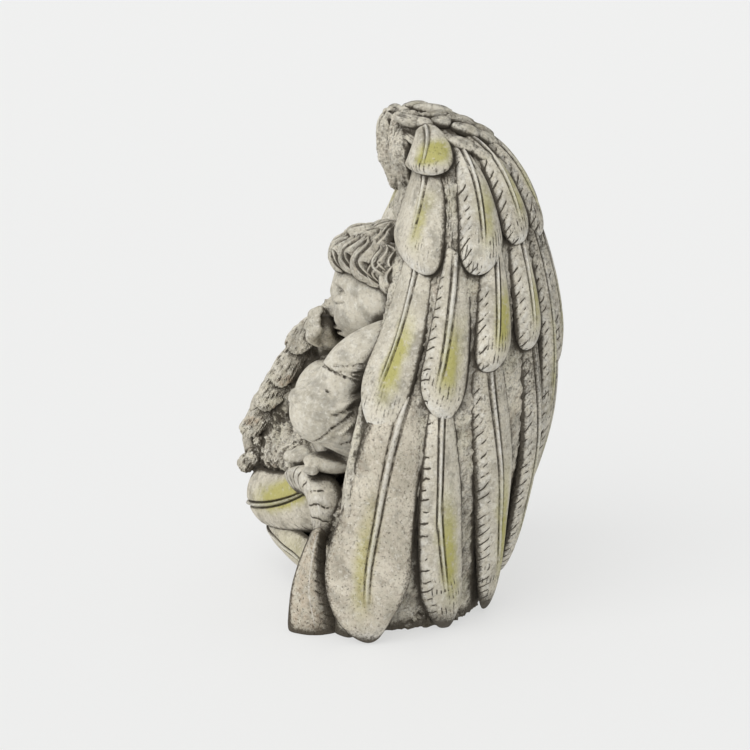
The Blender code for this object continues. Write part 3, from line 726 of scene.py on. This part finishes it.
def body_between(rows=90):
    """The casting behind the child: at every share along, a ring that follows the inside of
    both wings from one side to the other and closes with a front wall, a little uneven."""
    along = np.linspace(FILL_TOP, 1.0, rows)
    reach = stations(np.array(FILL_SHARES)[:, None], along)[:, 0]
    share = reach[:, None] * np.linspace(1, 0, 20)
    left, normal = wing_frame(share, along[:, None] + 0 * share, 1)
    left = left - normal * FILL_OVERLAP
    right_side = left[:, ::-1][:, 1:] * (-1, 1, 1)
    blend_over = np.linspace(0, 1, 26)[1:-1][None, :, None]
    front = right_side[:, -1:] * (1 - blend_over) + left[:, :1] * blend_over
    front[..., 1] += ripples(front, 9.0, 5) * 0.8 + ripples(front, 3.0, 6) * 0.3
    return np.concatenate([left, right_side, front], axis=1), {"tone": -0.4}


def down_lobes(side):
    """Plump oval lobes in staggered rows on the inner side, tips towards the front edge."""
    made = []
    for number, (root, tip) in enumerate(LOBE_ROWS):
        for column in LOBE_COLUMNS:
            across = column - LOBE_STAGGER * (number % 2)
            jog = dice.uniform(-LOBE_JOG, LOBE_JOG, 3)
            made.append(wing_blade(side, (across + LOBE_ROOT, root + jog[0]),
                                   (across + LOBE_TIP + jog[1], tip + jog[2]), LOBE_WIDTH,
                                   lift=(-2.6, 1.4), depth=SHELL_THICKNESS + SHELL_SINK,
                                   shaft=0.5, stain=0.15, rows=30, columns=20))
    return made


# Painted shade lies evenly over the walls, the fill between them and the heap.
wall_paint = plain_paint("rough_stone", 1.1, 1.0, stain=0.1, rust=0.45, painted_shade=0.27)
down_paint = feather_paint("down_stone", 0.6, 0.9, 1.3, 0.5, rust=0.12, pitting=0.7)
casting("wing_wall_left", [wing_wall(1)], wall_paint)
casting("wing_wall_right", [wing_wall(-1)], wall_paint)
casting("wing_fill", [body_between()], wall_paint)
casting("wing_down", down_lobes(1) + down_lobes(-1), down_paint)

# ---------------------------------------------------------------------------------------
# The lowest feathers, which leave the wings and wrap round the front of the figurine. Two
# of the right wing sweep across it, the upper one folding over at its end. On the left a
# broad one runs down to the ground, and a narrow one stands on edge beside it.

# Each route: centres, widths and ways it faces, in millimetres, from the quill to the tip
SWEEP_TOP = (((-55, -16, 38), (-52, -38, 32), (-40, -47.5, 30), (-22, -45, 32),
              (-5, -39, 36), (8, -35, 41), (17, -33, 47)), (20, 22, 22, 23, 24, 21, 15),
             ((-1, -0.4, 0.1), (-0.8, -0.7, 0), (-0.4, -1, 0), (0.1, -1, 0), (0.3, -1, 0.1),
              (0.4, -0.9, 0.2), (0.4, -0.8, 0.4)))
SWEEP_FOLD = (((-2, -42.2, 44.2), (7, -41.8, 48), (16, -40.5, 49.4), (22.5, -38.8, 45),
               (23.5, -38.2, 37), (21, -39, 28.5)), (8, 11, 13, 14.5, 13.5, 8),
              ((-0.1, -0.8, 0.6), (0.1, -0.8, 0.6), (0.4, -0.8, 0.5), (0.75, -0.7, 0.2),
               (0.8, -0.7, 0), (0.75, -0.7, -0.1)))
SWEEP_LOW = (((-53, -12, 26), (-47, -31, 21.5), (-35, -42, 18.5), (-18, -42, 17),
              (-2, -40.5, 17), (12, -39, 16.5), (24, -36, 14)), (14, 15, 15, 15.5, 16, 15, 11),
             ((-1, -0.3, 0), (-0.8, -0.7, -0.1), (-0.3, -1, -0.1), (0, -1, -0.15),
              (0.2, -1, -0.1), (0.3, -1, -0.1), (0.4, -1, 0)))
FIN = (((34, -44, 38), (35.5, -47, 28), (37, -48.8, 16), (37.5, -47.5, 5), (37.5, -46, -6)),
       (5, 9, 14, 19.5, 21),
       ((0.95, -0.4, 0.1), (1, -0.4, 0.1), (1, -0.35, 0.15), (1, -0.3, 0.2), (1, -0.3, 0.3)))
BROAD = (((47, -12, 94), (52, -19, 79), (54, -24, 64), (54.5, -28, 47),
          (55, -32, 28), (56, -33.5, 13), (57.5, -32, 0.5)), (16, 23, 24, 26.5, 31, 31, 26),
         ((1, -0.1, 0.1), (1, -0.2, 0.1), (1, -0.25, 0.05), (1, -0.3, 0.05), (1, -0.35, 0.1),
          (1, -0.35, 0.3), (1, -0.35, 0.5)))

sweep_paint = feather_paint("sweep_stone", 1.0, 0.6, 1.0, 1.0, rust=0.15, pitting=0.6,
                            grooves=0.6, inner=0.6, spread=8.0, strands=0.2)
fold_paint = feather_paint("fold_stone", 0.5, 0.8, 1.1, 0.0, rust=0.15, pitting=0.6,
                           grooves=0.0, slant=0.15, inner=-0.60)
broad_paint = feather_paint("broad_stone", 1.4, 0.15, 1.0, 0.7, rust=0.25, pitting=0.8,
                            strands=0.12)
fin_paint = feather_paint("fin_stone", 0.5, 0.8, 1.2, 0.0, rust=0.5, pitting=1.0,
                          grooves=0.0, slant=-0.6, inner=0.2, strands=0.2)
casting("sweeping_feathers", [free_blade(SWEEP_TOP, thick=1.6, shaft=1.0, stain=1.7, lean=-8.0),
                              free_blade(SWEEP_LOW, thick=1.2, shaft=0.9, stain=0.3)],
        sweep_paint)
casting("folded_feather", [free_blade(SWEEP_FOLD, thick=1.9, shaft=0.0, stain=0.1, columns=36)],
        fold_paint)
casting("broad_feather", [free_blade(BROAD, thick=1.1, shaft=1.3, stain=0.9, flip=-1,
                                     turn_in=0.66, power=1.4, lean=2.0)], broad_paint)
# The narrow feather carries a little painted shade all over.
casting("narrow_feather", [free_blade(FIN, thick=1.5, shaft=0.0, stain=0.1, flip=-1, rows=60,
                                      painted_shade=0.08)], fin_paint)

# ---------------------------------------------------------------------------------------
# The child's body: arms, legs and a loose cloth over the lap, all smooth and rounded, cast
# in one with the wings. The right hand is by the mouth, the left one lies on the lap.

# Limbs: centres and radii of the left arm's two parts, the right arm's two, the neck, the
# shoulders, the two thighs and the two shins
LIMBS = (
    (((24, -6, 100), (26, -18, 101.5), (26, -29, 96.5), (25, -37, 86)), (11, 9.8, 9.2, 8.4)),
    (((25, -37, 85), (13, -37.5, 82), (2, -36.5, 80.5)), (8, 6.6, 5)),
    (((-24, -2, 94), (-27, -12, 88), (-23, -21, 83)), (11, 9, 8)),
    (((-24, -21, 84), (-20, -25, 92), (-13.5, -29, 99)), (7, 5.5, 3.8)),
    (((-1, 2, 92), (-1, -4, 106)), (12, 11)),
    (((-24, -4, 93), (0, 1, 96), (24, -8, 99)), (11, 13, 11)),
    (((22, 4, 63), (25, -16, 70), (24, -38, 78)), (17, 15, 12.2)),
    (((-20, 4, 60), (-16, -12, 68), (-13, -27, 74)), (18, 16, 14)),
    (((24, -25, 70), (22, -26, 63), (21, -32, 59.5)), (10, 7, 4.5)),
    (((-12, -24, 68), (-7, -24, 60), (-4, -30, 53)), (12, 10, 7)),
)
# Masses: centre, radii and turns of the trunk, the lap's cloth, knees, feet and palms
MASSES = (
    ((0, 2, 72), (26, 22, 32), (-12, 0, 0)), ((2, -8, 56), (34, 20, 17)),
    ((4, -25, 66), (25, 14, 17)), ((24, -39, 79), (13.5, 13.5, 12.8)),
    ((24.5, -45, 82), (7, 7, 6)), ((24.5, -48.5, 85), (4.6, 4.6, 3.6)),
    ((-13, -27, 75), (14, 14, 14)), ((21, -37.0, 58.2), (6.2, 10.0, 4.0), (-8, 0, -6)),
    ((-4, -35, 53), (6.5, 11.5, 5.5), (-6, 0, -4)),
    ((4, -37, 80), (7, 4.2, 5.5)), ((-11.5, -29.8, 101.5), (4.0, 3.8, 4.8)),
)
FINGERS = (
    ((9, -40, 83.5), (3, -42.2, 83), (-3, -41.5, 81)),
    ((9, -41, 80), (2, -43, 79.3), (-4, -41.5, 77.8)),
    ((9, -40.8, 76.5), (2, -42.4, 75.5), (-3, -41, 74.5)),
    ((-14.5, -29.5, 102), (-12.5, -34.2, 106), (-8.5, -32.5, 109)),
    ((-14.5, -30.8, 98.6), (-12, -35.6, 102.2), (-7.5, -34, 105.4)),
    ((-13.5, -31.8, 95.4), (-10.5, -35.6, 98.6), (-6.5, -33.8, 101.8)),
    ((-15.5, -30.5, 99), (-18, -33, 100), (-18.5, -34, 102)),
)
FINGER_RADII = (2.0, 2.3, 1.8)
# Feet: the middle of the toes, which one stands foremost, their places across, their radii
FEET = (((20.5, -46, 57), 4, (-4.2, -1.4, 1.4, 4.0, 6.2), (1.8, 2.4, 1.5)),
        ((-4.5, -45, 53.5), -3, (-5.2, -2.6, 0.0, 2.4, 4.6), (2.0, 2.8, 1.9)))
TOE_BOW = 0.45      # each toe stands further back by this much of its distance from that one
TOES = tuple(((x + across, y + abs(across - foremost) * TOE_BOW, z), radii)
             for (x, y, z), foremost, places, radii in FEET for across in places)
# Painted shade round the hand by the face: its middle, reach and strength
HAND_BY_FACE, SHADE_REACH, HAND_SHADE = np.array([-13.0, -34.0, 101.0]), 9.0, 0.36
LEFT_SIDE = (14, 20)    # millimetres to the left over which the creases set in
# Creases on the left sides: start and end (back, up), half width, and height or depth
CREASES = (
    ((-41, 96.5), (-35, 93.6), 0.5, -1.0), ((-35, 93.6), (-27.5, 90.5), 0.5, -0.9),
    ((-38, 97.3), (-28, 97.6), 0.45, -0.7), ((-36.5, 95.3), (-27, 94.8), 0.4, -0.8),
    ((-34, 94.2), (-27, 92.6), 0.35, -0.7), ((-39.5, 82.2), (-28.5, 85.2), 1.0, 1.1),
    ((-40, 80.4), (-28.5, 83.4), 0.5, -0.8), ((-40.9, 88.4), (-40.6, 88.3), 0.35, -1.1),
    ((-45, 69), (-40, 75.5), 0.5, -0.8), ((-40, 75.5), (-32, 80.5), 0.5, -0.8),
    ((-37, 73), (-31, 78), 0.9, 0.7), ((-49, 80.0), (-45, 77.5), 0.9, -0.35),
    ((-36, 68.5), (-30, 71), 0.5, -0.7), ((-52, 84), (-42, 90), 1.2, 0.5),
)


def turned(angles):
    """The matrix of three turns in degrees, about X, then Y, then Z."""
    whole = np.eye(3)
    for axis, angle in enumerate(np.radians(angles)):
        i, j = (axis + 1) % 3, (axis + 2) % 3
        spin = np.eye(3)
        spin[[i, j], [i, j]] = math.cos(angle)
        spin[[i, j], [j, i]] = -math.sin(angle), math.sin(angle)
        whole = spin @ whole
    return whole


def ball(centre, radii, angles=(0, 0, 0), rows=40, columns=56):
    """An ellipsoid: the sine and cosine of latitude and longitude times its radii, turned."""
    lat, lon = globe(rows, columns)
    sphere = np.stack([np.sin(lat) * np.cos(lon), np.sin(lat) * np.sin(lon),
                       np.cos(lat) + 0 * lon], -1)
    return (sphere * np.array(radii, float)) @ turned(angles).T + np.array(centre, float), {}


def limb(centres, radii, rows=60, columns=40):
    """A round limb along a smooth curve. Past each end it closes on a half circle of the
    end's own radius."""
    t = np.linspace(0, 1, rows)
    path = stations(centres, t)
    girth = stations(np.array(radii, float)[:, None], t)[:, 0]
    ahead = unit(np.gradient(path, axis=0))
    swing = np.linspace(math.pi / 2, 0.05, 10)[1:]
    start = path[:1] - ahead[:1] * (girth[0] * np.cos(swing))[::-1, None]
    end = path[-1:] + ahead[-1:] * (girth[-1] * np.cos(swing))[:, None]
    girth = np.concatenate([girth[0] * np.sin(swing)[::-1], girth, girth[-1] * np.sin(swing)])
    ahead = np.vstack([np.repeat(ahead[:1], 9, 0), ahead, np.repeat(ahead[-1:], 9, 0)])
    path = np.vstack([start, path, end])
    helper = np.array([0.0, 0.0, 1.0]) if abs(ahead[0, 2]) < 0.8 else np.array([1.0, 0, 0])
    first = unit(np.cross(ahead, helper))
    second = np.cross(ahead, first)
    turn = np.linspace(0, 2 * math.pi, columns, endpoint=False)[None, :, None]
    ring = first[:, None] * np.cos(turn) + second[:, None] * np.sin(turn)
    return path[:, None] + ring * girth[:, None, None], {}


def one_skin(made, voxel, smoothing, relief):
    """Runs the shapes of one object together into one skin, softened where they meet. Its
    points then move out along their normals by relief(points), all in millimetres, and none
    goes below the ground. Returns the new mesh and the points before that."""
    remesh = made.modifiers.new("one_skin", "REMESH")
    remesh.mode = "VOXEL"
    remesh.voxel_size = voxel * MM
    soften = made.modifiers.new("soften", "SMOOTH")
    soften.factor, soften.iterations = 0.5, smoothing
    bpy.context.view_layer.update()
    graph = bpy.context.evaluated_depsgraph_get()
    mesh = bpy.data.meshes.new_from_object(made.evaluated_get(graph))
    made.modifiers.clear()
    made.data = mesh
    flat, facing = np.empty(len(mesh.vertices) * 3), np.empty(len(mesh.vertices) * 3)
    mesh.vertices.foreach_get("co", flat)
    mesh.vertex_normals.foreach_get("vector", facing)
    points = flat.reshape(-1, 3) / MM - AXIS
    spots = (points + facing.reshape(-1, 3) * relief(points)[:, None] + AXIS) * MM
    spots[:, 2] = np.maximum(spots[:, 2], 0)
    mesh.vertices.foreach_set("co", spots.ravel())
    mesh.update()
    return mesh, points


def near_line(points, start, end):
    """Distance from each point, in the plane of start and end, to the line between them."""
    start, end = np.array(start, float), np.array(end, float)
    along = np.clip((points - start) @ (end - start) / np.sum((end - start) ** 2), 0, 1)
    return np.linalg.norm(points - start - along[:, None] * (end - start), axis=1)


def creased(points):
    """The creases as bell curves across their lines, on a slightly uneven skin."""
    height = ripples(points, 16.0, 8) * 0.15
    for start, end, width, depth in CREASES:
        gap = near_line(points[:, 1:], start, end)
        height += depth * np.exp(-((gap / width) ** 2)) * rise_to(*LEFT_SIDE, points[:, 0])
    return height


skin_paint = plain_paint("smooth_stone", 1.15, 0.2, rust=0.1)
body = casting("child_body", [limb(c, r) for c, r in LIMBS] + [ball(*m) for m in MASSES + TOES]
               + [limb(c, FINGER_RADII, 14, 16) for c in FINGERS], skin_paint)
body_mesh, body_points = one_skin(body, voxel=0.75, smoothing=2, relief=creased)
# Painted shade on the skin round the hand by the face, fading as a bell curve.
from_hand = np.linalg.norm(body_points - HAND_BY_FACE, axis=1)
body_mesh.attributes.new("painted_shade", "FLOAT", "POINT").data.foreach_set(
    "value", HAND_SHADE * np.exp(-((from_hand / SHADE_REACH) ** 2)))

# ---------------------------------------------------------------------------------------
# The down that the child lies in, cast with the wings: a rough heap under the feet and up
# its right side, and the base that it all stands on, carved with small tufts.

# Masses: centre and radii. Limbs: centres and radii, the last one under the small feathers.
HEAP_MASSES = (((0, -9, 6), (47, 31, 41)), ((26, -20, 30), (22, 20, 26)))
HEAP_LIMBS = ((((-41, -38, 41), (-31, -36.5, 49), (-14, -31, 51), (2, -28, 52)), (9, 12, 12, 10)),
              (((-38, -24, 36), (-37, -24, 56), (-32, -18, 76)), (11, 12, 10)),
              (((-45, -44, 44), (-38, -37, 62), (-30, -30, 82), (-24, -25, 98)), (7, 8, 7.5, 5)))


def tufted(points):
    """Tufts that lean upright, with finer ripples on top of them."""
    tufts = ripples(points * (1.3, 1.3, 1.0), 6.0, 21)
    return 0.8 * tufts + 0.5 * ripples(points, 2.8, 22) * (1.1 + tufts)


heap = casting("down_heap", [ball(*m) for m in HEAP_MASSES] + [limb(*m) for m in HEAP_LIMBS],
               wall_paint)
one_skin(heap, voxel=1.0, smoothing=3, relief=tufted)

# ---------------------------------------------------------------------------------------
# Short plump feathers, cast as long ovals that overlap down the inner side of the right
# wing like shingles, with carved streaks, a knob at the foot and small tufts around it.
SHINGLE_TOP, SHINGLE_FOOT = np.array([-21.0, -32.0, 99.0]), np.array([-43.0, -51.0, 52.0])
SHINGLE_BACK = np.array([1.5, 8.4, 2.4])   # one place further back along a row
SHINGLE_OUT = np.array([0.9, -0.35, 0.3])
SHINGLE_SIZE = np.array([24.0, 11.5, 5.2])
SHINGLE_ROWS, SHINGLE_COLUMNS, SHINGLE_RUN = 4, 3, 3.7      # the run is so many rows long
FLARE, STRAY, FIRST_LEAN = 0.26, 0.16, 0.4      # of the headings: out, at random, and forwards
STREAK = 0.78           # how much of the run the streaks leave out
KNOBS = (((-46, -51.5, 42), (10, 8, 8)), ((-43, -49, 45), (9, 8, 8)))   # centre and size
# Tufts: how many, their size, where their line starts and runs, and how far they stray
TUFTS, TUFT_SIZE = 34, np.array([6, 4, 4])
TUFT_START, TUFT_LINE = np.array([-44.0, -45, 47]), np.array([34.0, 9, 6])
TUFT_STRAY = (3, 4, 5)


def streaked(points):
    """Streaks that run down the wing: ripples drawn 1 / (1 - STREAK) times longer that way."""
    across_run = points - STREAK * np.outer(points @ downwards, downwards)
    return 0.12 * ripples(points, 3.2, 41) + 0.30 * ripples(across_run, 1.5, 42)


downwards = unit(SHINGLE_FOOT - SHINGLE_TOP)
shingles = []
for row in range(SHINGLE_ROWS):
    for column in range(SHINGLE_COLUMNS):
        down = (row + 0.5 * (column % 2)) / SHINGLE_RUN
        place = SHINGLE_TOP + (SHINGLE_FOOT - SHINGLE_TOP) * down
        place = place + SHINGLE_BACK * column + dice.uniform(-0.8, 0.8, 3)
        heading = downwards + FLARE * SHINGLE_OUT + dice.uniform(-STRAY, STRAY, 3)
        heading = heading - FIRST_LEAN * (column == 0) * unit(SHINGLE_BACK)
        size = SHINGLE_SIZE * dice.uniform(0.85, 1.15)
        shingles.append(plump_lobe(place, heading, SHINGLE_OUT, size))
for centre, size in KNOBS:
    shingles.append(plump_lobe(centre, (0.3, -0.6, -0.4), (0.6, -0.6, 0.3), size))
for number in range(TUFTS):
    place = TUFT_START + TUFT_LINE * dice.uniform(0, 1)
    place = place + dice.uniform(-1, 1, 3) * TUFT_STRAY
    shingles.append(plump_lobe(place, dice.uniform(-1, 1, 3) + (0.4, -0.4, -0.8),
                               (0.4, -0.8, 0.6), dice.uniform(0.8, 1.3) * TUFT_SIZE))
# The shingles carry painted shade evenly over them.
rough_down = casting("shingle_feathers", shingles,
                     plain_paint("shingle_stone", 1.5, 1.0, stain=0.1, rust=0.9, painted_shade=0.22))
one_skin(rough_down, voxel=0.52, smoothing=1, relief=streaked)

# ---------------------------------------------------------------------------------------
# The rolled front of each wing's crest, set with small tufts, rough, pitted and darkened with
# painted shade, cast in one with the wing.
ROLL_CENTRES = ((7, -1.5, 181), (8.5, -4, 176), (8.5, -5, 169.5), (8.5, -3, 162), (9, 1, 155))
ROLL_RADII = (3.5, 5, 5.5, 5, 3.5)
ROLL_TUFTS, ROLL_TUFT_SIZE, ROLL_TUFT_OUT = 12, np.array([8.0, 5.2, 4.6]), 3.9


def roughened(points):
    """Coarse ripples and finer ones."""
    return 0.45 * ripples(points, 5.0, 31) + 0.35 * ripples(points, 2.2, 32)


fronts = [limb(np.array(ROLL_CENTRES) * (side, 1, 1), ROLL_RADII) for side in (1, -1)]
for side in (1, -1):
    for number in range(ROLL_TUFTS):
        place = stations(ROLL_CENTRES, np.array((number + 0.5) / ROLL_TUFTS))
        place = place + dice.uniform(-1, 1, 3)
        way = np.array((0.9, -0.3, 0) if number % 2 else (-0.3, -0.9, 0))
        tuft, _ = plump_lobe((place + way * ROLL_TUFT_OUT) * (side, 1, 1),
                             (side * 0.3, 0.3, -1), way * (side, 1, 1),
                             dice.uniform(0.8, 1.2) * ROLL_TUFT_SIZE)
        fronts.append((tuft, {}))
front = casting("crest_front", fronts,
                plain_paint("crest_stone", 1.2, 1.0, rust=0.25, painted_shade=0.28))
one_skin(front, voxel=0.6, smoothing=3, relief=roughened)

# ---------------------------------------------------------------------------------------
# The head, cast with the body, turned a little to the child's right, asleep. It is a plain
# rounded infant's face: full cheeks, a small nose and mouth, and closed lids.
HEAD_TURN = (4, 0, -22)
HEAD_CENTRE = (-0.5, -4.5, 116.5)
SKULL = (22.0, 24.0, 23.5)      # radii
JAW, CHEEKS, CHIN = 0.24, 0.75, 1.04    # narrowing below, fullness at the front, and length
EYE_ACROSS, LID_UP, FOLD_UP, LIPS_UP = 8.9, -1.9, 2.9, -13.9    # from the skull's middle
# Each feature: place across and up from the skull's middle, spread across and up, height
FEATURES = (
    (0, 0.6, 1.5, 4.2, 1.7), (0, -6.4, 2.2, 2.3, 4.4), (2.8, -7.6, 1.3, 1.2, 1.9),
    (1.5, -9.1, 0.6, 0.5, -1.1), (8.6, 1.4, 4.4, 3.1, -3.0), (8.7, -0.2, 3.3, 2.3, 3.3),
    (8.9, 5.8, 5.0, 1.5, 1.3), (11.2, -9.0, 5.4, 4.8, 3.3), (0, -13.6, 5.0, 3.0, 2.2),
    (1.7, -12.6, 1.9, 0.7, 1.2), (0, -15.3, 2.7, 0.9, 1.3), (5.0, -13.8, 0.9, 0.9, -0.9),
    (0, -10.9, 0.7, 1.0, -0.5), (0, -20.0, 4.2, 2.6, 2.7), (0, -17.5, 3.4, 0.8, -0.9),
    (0, 13.0, 10.0, 7.0, 1.2),
)


def head_surface(rows=155, columns=235):
    """An ellipsoid, fuller below at the front and narrowed into a jaw, with its points drawn
    closer together on the face. The features are bell-shaped bumps and dents on its front,
    each one mirrored. The lids and the lips close on curved lines."""
    lat, even = globe(rows, columns)
    lon = even - 0.55 * np.sin(even)
    point = np.stack([np.sin(lat) * np.sin(lon), -np.sin(lat) * np.cos(lon),
                      np.cos(lat) + 0 * lon], -1) * np.array(SKULL)
    x, y, z = point[..., 0], point[..., 1], point[..., 2]
    low = rise_to(3, 25, -z)
    x = x * (1 - JAW * low)
    full = (1 - np.abs(z / SKULL[2]) ** 3) ** (1 / 3) / np.maximum(
        np.sqrt(1 - (z / SKULL[2]) ** 2), 0.05)
    y = np.where((z < 0) & (y < 0), y * (1 + CHEEKS * (full - 1)), y)
    z = np.where(z < 0, z * CHIN, z)
    front = rise_to(2, 10, -y)
    height = np.zeros_like(x)
    for across, up, wide, tall, out in FEATURES:
        for flip in ((1,) if across == 0 else (1, -1)):
            height += out * np.exp(-(((x - flip * across) / wide) ** 2) - ((z - up) / tall) ** 2)
    for flip in (1, -1):
        from_eye = x - flip * EYE_ACROSS
        lid = z - (LID_UP + 0.055 * from_eye**2)
        open_part = 1 - rise_to(3.6, 5.0, np.abs(from_eye))
        height -= 1.1 * np.exp(-((lid / 0.42) ** 2)) * open_part
        fold = z - (FOLD_UP - 0.05 * from_eye**2)
        height -= 0.6 * np.exp(-((fold / 0.45) ** 2)) * open_part
    lips = z - (LIPS_UP + 0.02 * x**2)
    height -= 1.2 * np.exp(-((lips / 0.4) ** 2)) * (1 - rise_to(3.6, 5.2, np.abs(x)))
    y = y - height * front
    placed = np.stack([x, y, z], -1) @ turned(HEAD_TURN).T + np.array(HEAD_CENTRE)
    return placed, {"tone": 0.2}


casting("child_head", [head_surface()], skin_paint)

# ---------------------------------------------------------------------------------------
# The hair, cast with the head: short wavy locks in overlapping tiers from the crown to the
# brow, the temples and the nape, with a full wave over the forehead, each carved with
# strands.

# How far down the hair reaches: bearings from the face, and polar angles, in degrees
HAIR_REACH = ((0, 52), (40, 58), (70, 80), (92, 96), (120, 108), (150, 118), (180, 122))
# Tiers from the lowest up: polar angle at the crown end, share of the reach, count, lift
HAIR_TIERS = ((46, 1.0, 20, 0.9), (34, 0.82, 17, 1.5), (18, 0.62, 13, 1.6), (3, 0.40, 8, 1.4))
# A lock's width, how many degrees it spans, and how far above its tier it may begin
LOCK_WIDTHS, LOCK_SPANS, LOCK_ABOVE = (7.5, 10), (30, 42), 12
ROOTS_OUT = (0.8, 0.8, -1.2)    # from the skull's radii to those that the roots lie on
# The wave over the forehead: bearing, polar angles at the crown end and the tip, width
BROW_LOCKS = ((-34, 26, 58, 9), (-14, 28, 62, 10), (8, 28, 62, 10), (30, 26, 62, 9),
              (50, 26, 70, 9), (-2, 12, 46, 10))


def lock(bearing, start, end, width, thick, lift, sway, rows=36, columns=16):
    """One lock over the skull, from the polar angle start to end at that bearing, all in
    degrees. It sways from side to side by a sine, swells and closes as a blade does, lifts
    towards its tip, and its top carries three strands, a cosine across it."""
    t = np.linspace(0, 1, rows)[:, None]
    u, on_top = blade_section(columns, 7)
    polar = np.radians(start + (end - start) * t)
    turn = np.radians(bearing) + sway * t + 0.13 * np.sin(math.pi * (2.3 * t + 4 * sway))
    close = np.sqrt(np.clip(1 - (2 * np.clip(t, 0.02, 0.985) - 1) ** 4, 0, 1))
    spine = np.stack([np.sin(polar) * np.sin(turn), -np.sin(polar) * np.cos(turn),
                      np.cos(polar)], -1)
    radii = np.array(SKULL) + ROOTS_OUT
    spot = spine * radii
    out = unit(spine / radii)
    ahead = unit(np.gradient(spot[:, 0], axis=0))[:, None]
    wide = np.cross(ahead, out)
    half = 0.5 * width * (0.7 + 0.4 * np.sin(math.pi * t)) * close
    strands = 0.24 * thick * np.cos(3.6 * math.pi * (u - 0.35 * t)) * (1 - u**2)
    top = thick * (0.35 * (1 - u**2) ** 0.35 + 0.65 * (1 - u**2)) * close + strands * close
    height = np.where(on_top > 0, top, -0.8 * close * (1 - u**2))
    height = height + lift * np.sin(math.pi * np.clip(t * 0.9, 0, 1)) ** 1.5
    point = spot + wide * (half * u)[..., None] + out * height[..., None]
    return point @ turned(HEAD_TURN).T + np.array(HEAD_CENTRE), {"tone": dice.uniform(-0.6, 0.6)}


locks = []
for start, share, count, lift in HAIR_TIERS:
    for number in range(count):
        bearing = -180 + 360 * (number + dice.uniform(0.3, 0.7)) / count
        reach = np.interp(abs(bearing), *zip(*HAIR_REACH)) * dice.uniform(0.95, 1.06)
        end = start + (reach - start) * share if share < 1 else reach
        first = max(start - LOCK_ABOVE, end - dice.uniform(*LOCK_SPANS))
        locks.append(lock(bearing, first, end, dice.uniform(*LOCK_WIDTHS), thick=2.9, lift=lift,
                          sway=dice.uniform(0.36, 0.50)))
for bearing, start, end, width in BROW_LOCKS:
    locks.append(lock(bearing, start, end, width, thick=3.4, lift=3.2, sway=0.45))
# The hair carries a little painted shade evenly over it.
casting("child_hair", locks, plain_paint("hair_stone", 1.4, 0.9, rust=0.6, painted_shade=0.10))

# ---------------------------------------------------------------------------------------
# The floor that the figurine stands on, no part of the casting: a plain pale matt sheet. It
# glows a little, so that it looks as bright near as far.
FLOOR_HALF = 8.0        # metres
FLOOR_COLOUR, FLOOR_GLOW, GLOW_STRENGTH = (0.26, 0.26, 0.257, 1), (1, 1, 0.99, 1), 0.585
floor_mesh = bpy.data.meshes.new("floor")
floor_mesh.from_pydata([(x * FLOOR_HALF, y * FLOOR_HALF, 0)
                        for x, y in ((-1, -1), (1, -1), (1, 1), (-1, 1))], [], [(0, 1, 2, 3)])
floor = bpy.data.objects.new("floor", floor_mesh)
bpy.context.scene.collection.objects.link(floor)
floor_paint, floor_tree = new_paint("pale_floor")
floor_shader = floor_tree.nodes["Principled BSDF"]
for key, value in (("Base Color", FLOOR_COLOUR), ("Roughness", 0.7),
                   ("Emission Color", FLOOR_GLOW), ("Emission Strength", GLOW_STRENGTH)):
    floor_shader.inputs[key].default_value = value
floor_mesh.materials.append(floor_paint)

# ---------------------------------------------------------------------------------------
# Soft studio light: an even, slightly cool surround and one very wide key from above the
# camera's left. The camera has a long lens and stands a metre away.
SURROUND, SURROUND_STRENGTH = (0.97, 0.985, 1.0, 1), 0.60
KEY_STRENGTH, KEY_WIDTH, KEY_TILT, KEY_BEARING = 1.65, 60, 46, 38       # the angles in degrees
AZIMUTH, ELEVATION, DISTANCE = math.radians(74), math.radians(14), 1.0
LENS = 128.208                          # millimetres
AIM_UP, AIM_LEFT, AIM_DOWN = 92, 13.2, 8.0      # millimetres up the axis, then off it
world = bpy.data.worlds.new("studio")
world.use_nodes = True
surround = world.node_tree.nodes["Background"]
surround.inputs["Color"].default_value = SURROUND
surround.inputs["Strength"].default_value = SURROUND_STRENGTH
bpy.context.scene.world = world

key_data = bpy.data.lights.new("key", "SUN")
key_data.energy, key_data.angle = KEY_STRENGTH, math.radians(KEY_WIDTH)
key = bpy.data.objects.new("key", key_data)
key.rotation_euler = (math.radians(KEY_TILT), 0, math.radians(KEY_BEARING))
bpy.context.scene.collection.objects.link(key)

right = np.array([math.cos(AZIMUTH), math.sin(AZIMUTH), 0])
back = np.array([math.sin(AZIMUTH) * math.cos(ELEVATION),
                 -math.cos(AZIMUTH) * math.cos(ELEVATION), math.sin(ELEVATION)])
target = (AXIS + (0, 0, AIM_UP) - right * AIM_LEFT - np.cross(back, right) * AIM_DOWN) * MM
camera_data = bpy.data.cameras.new("camera")
camera_data.lens = LENS
camera = bpy.data.objects.new("camera", camera_data)
camera.location = target + back * DISTANCE
camera.rotation_euler = (math.pi / 2 - ELEVATION, 0, AZIMUTH)
bpy.context.scene.collection.objects.link(camera)
bpy.context.scene.camera = camera
bpy.context.scene.view_settings.view_transform = "Standard"
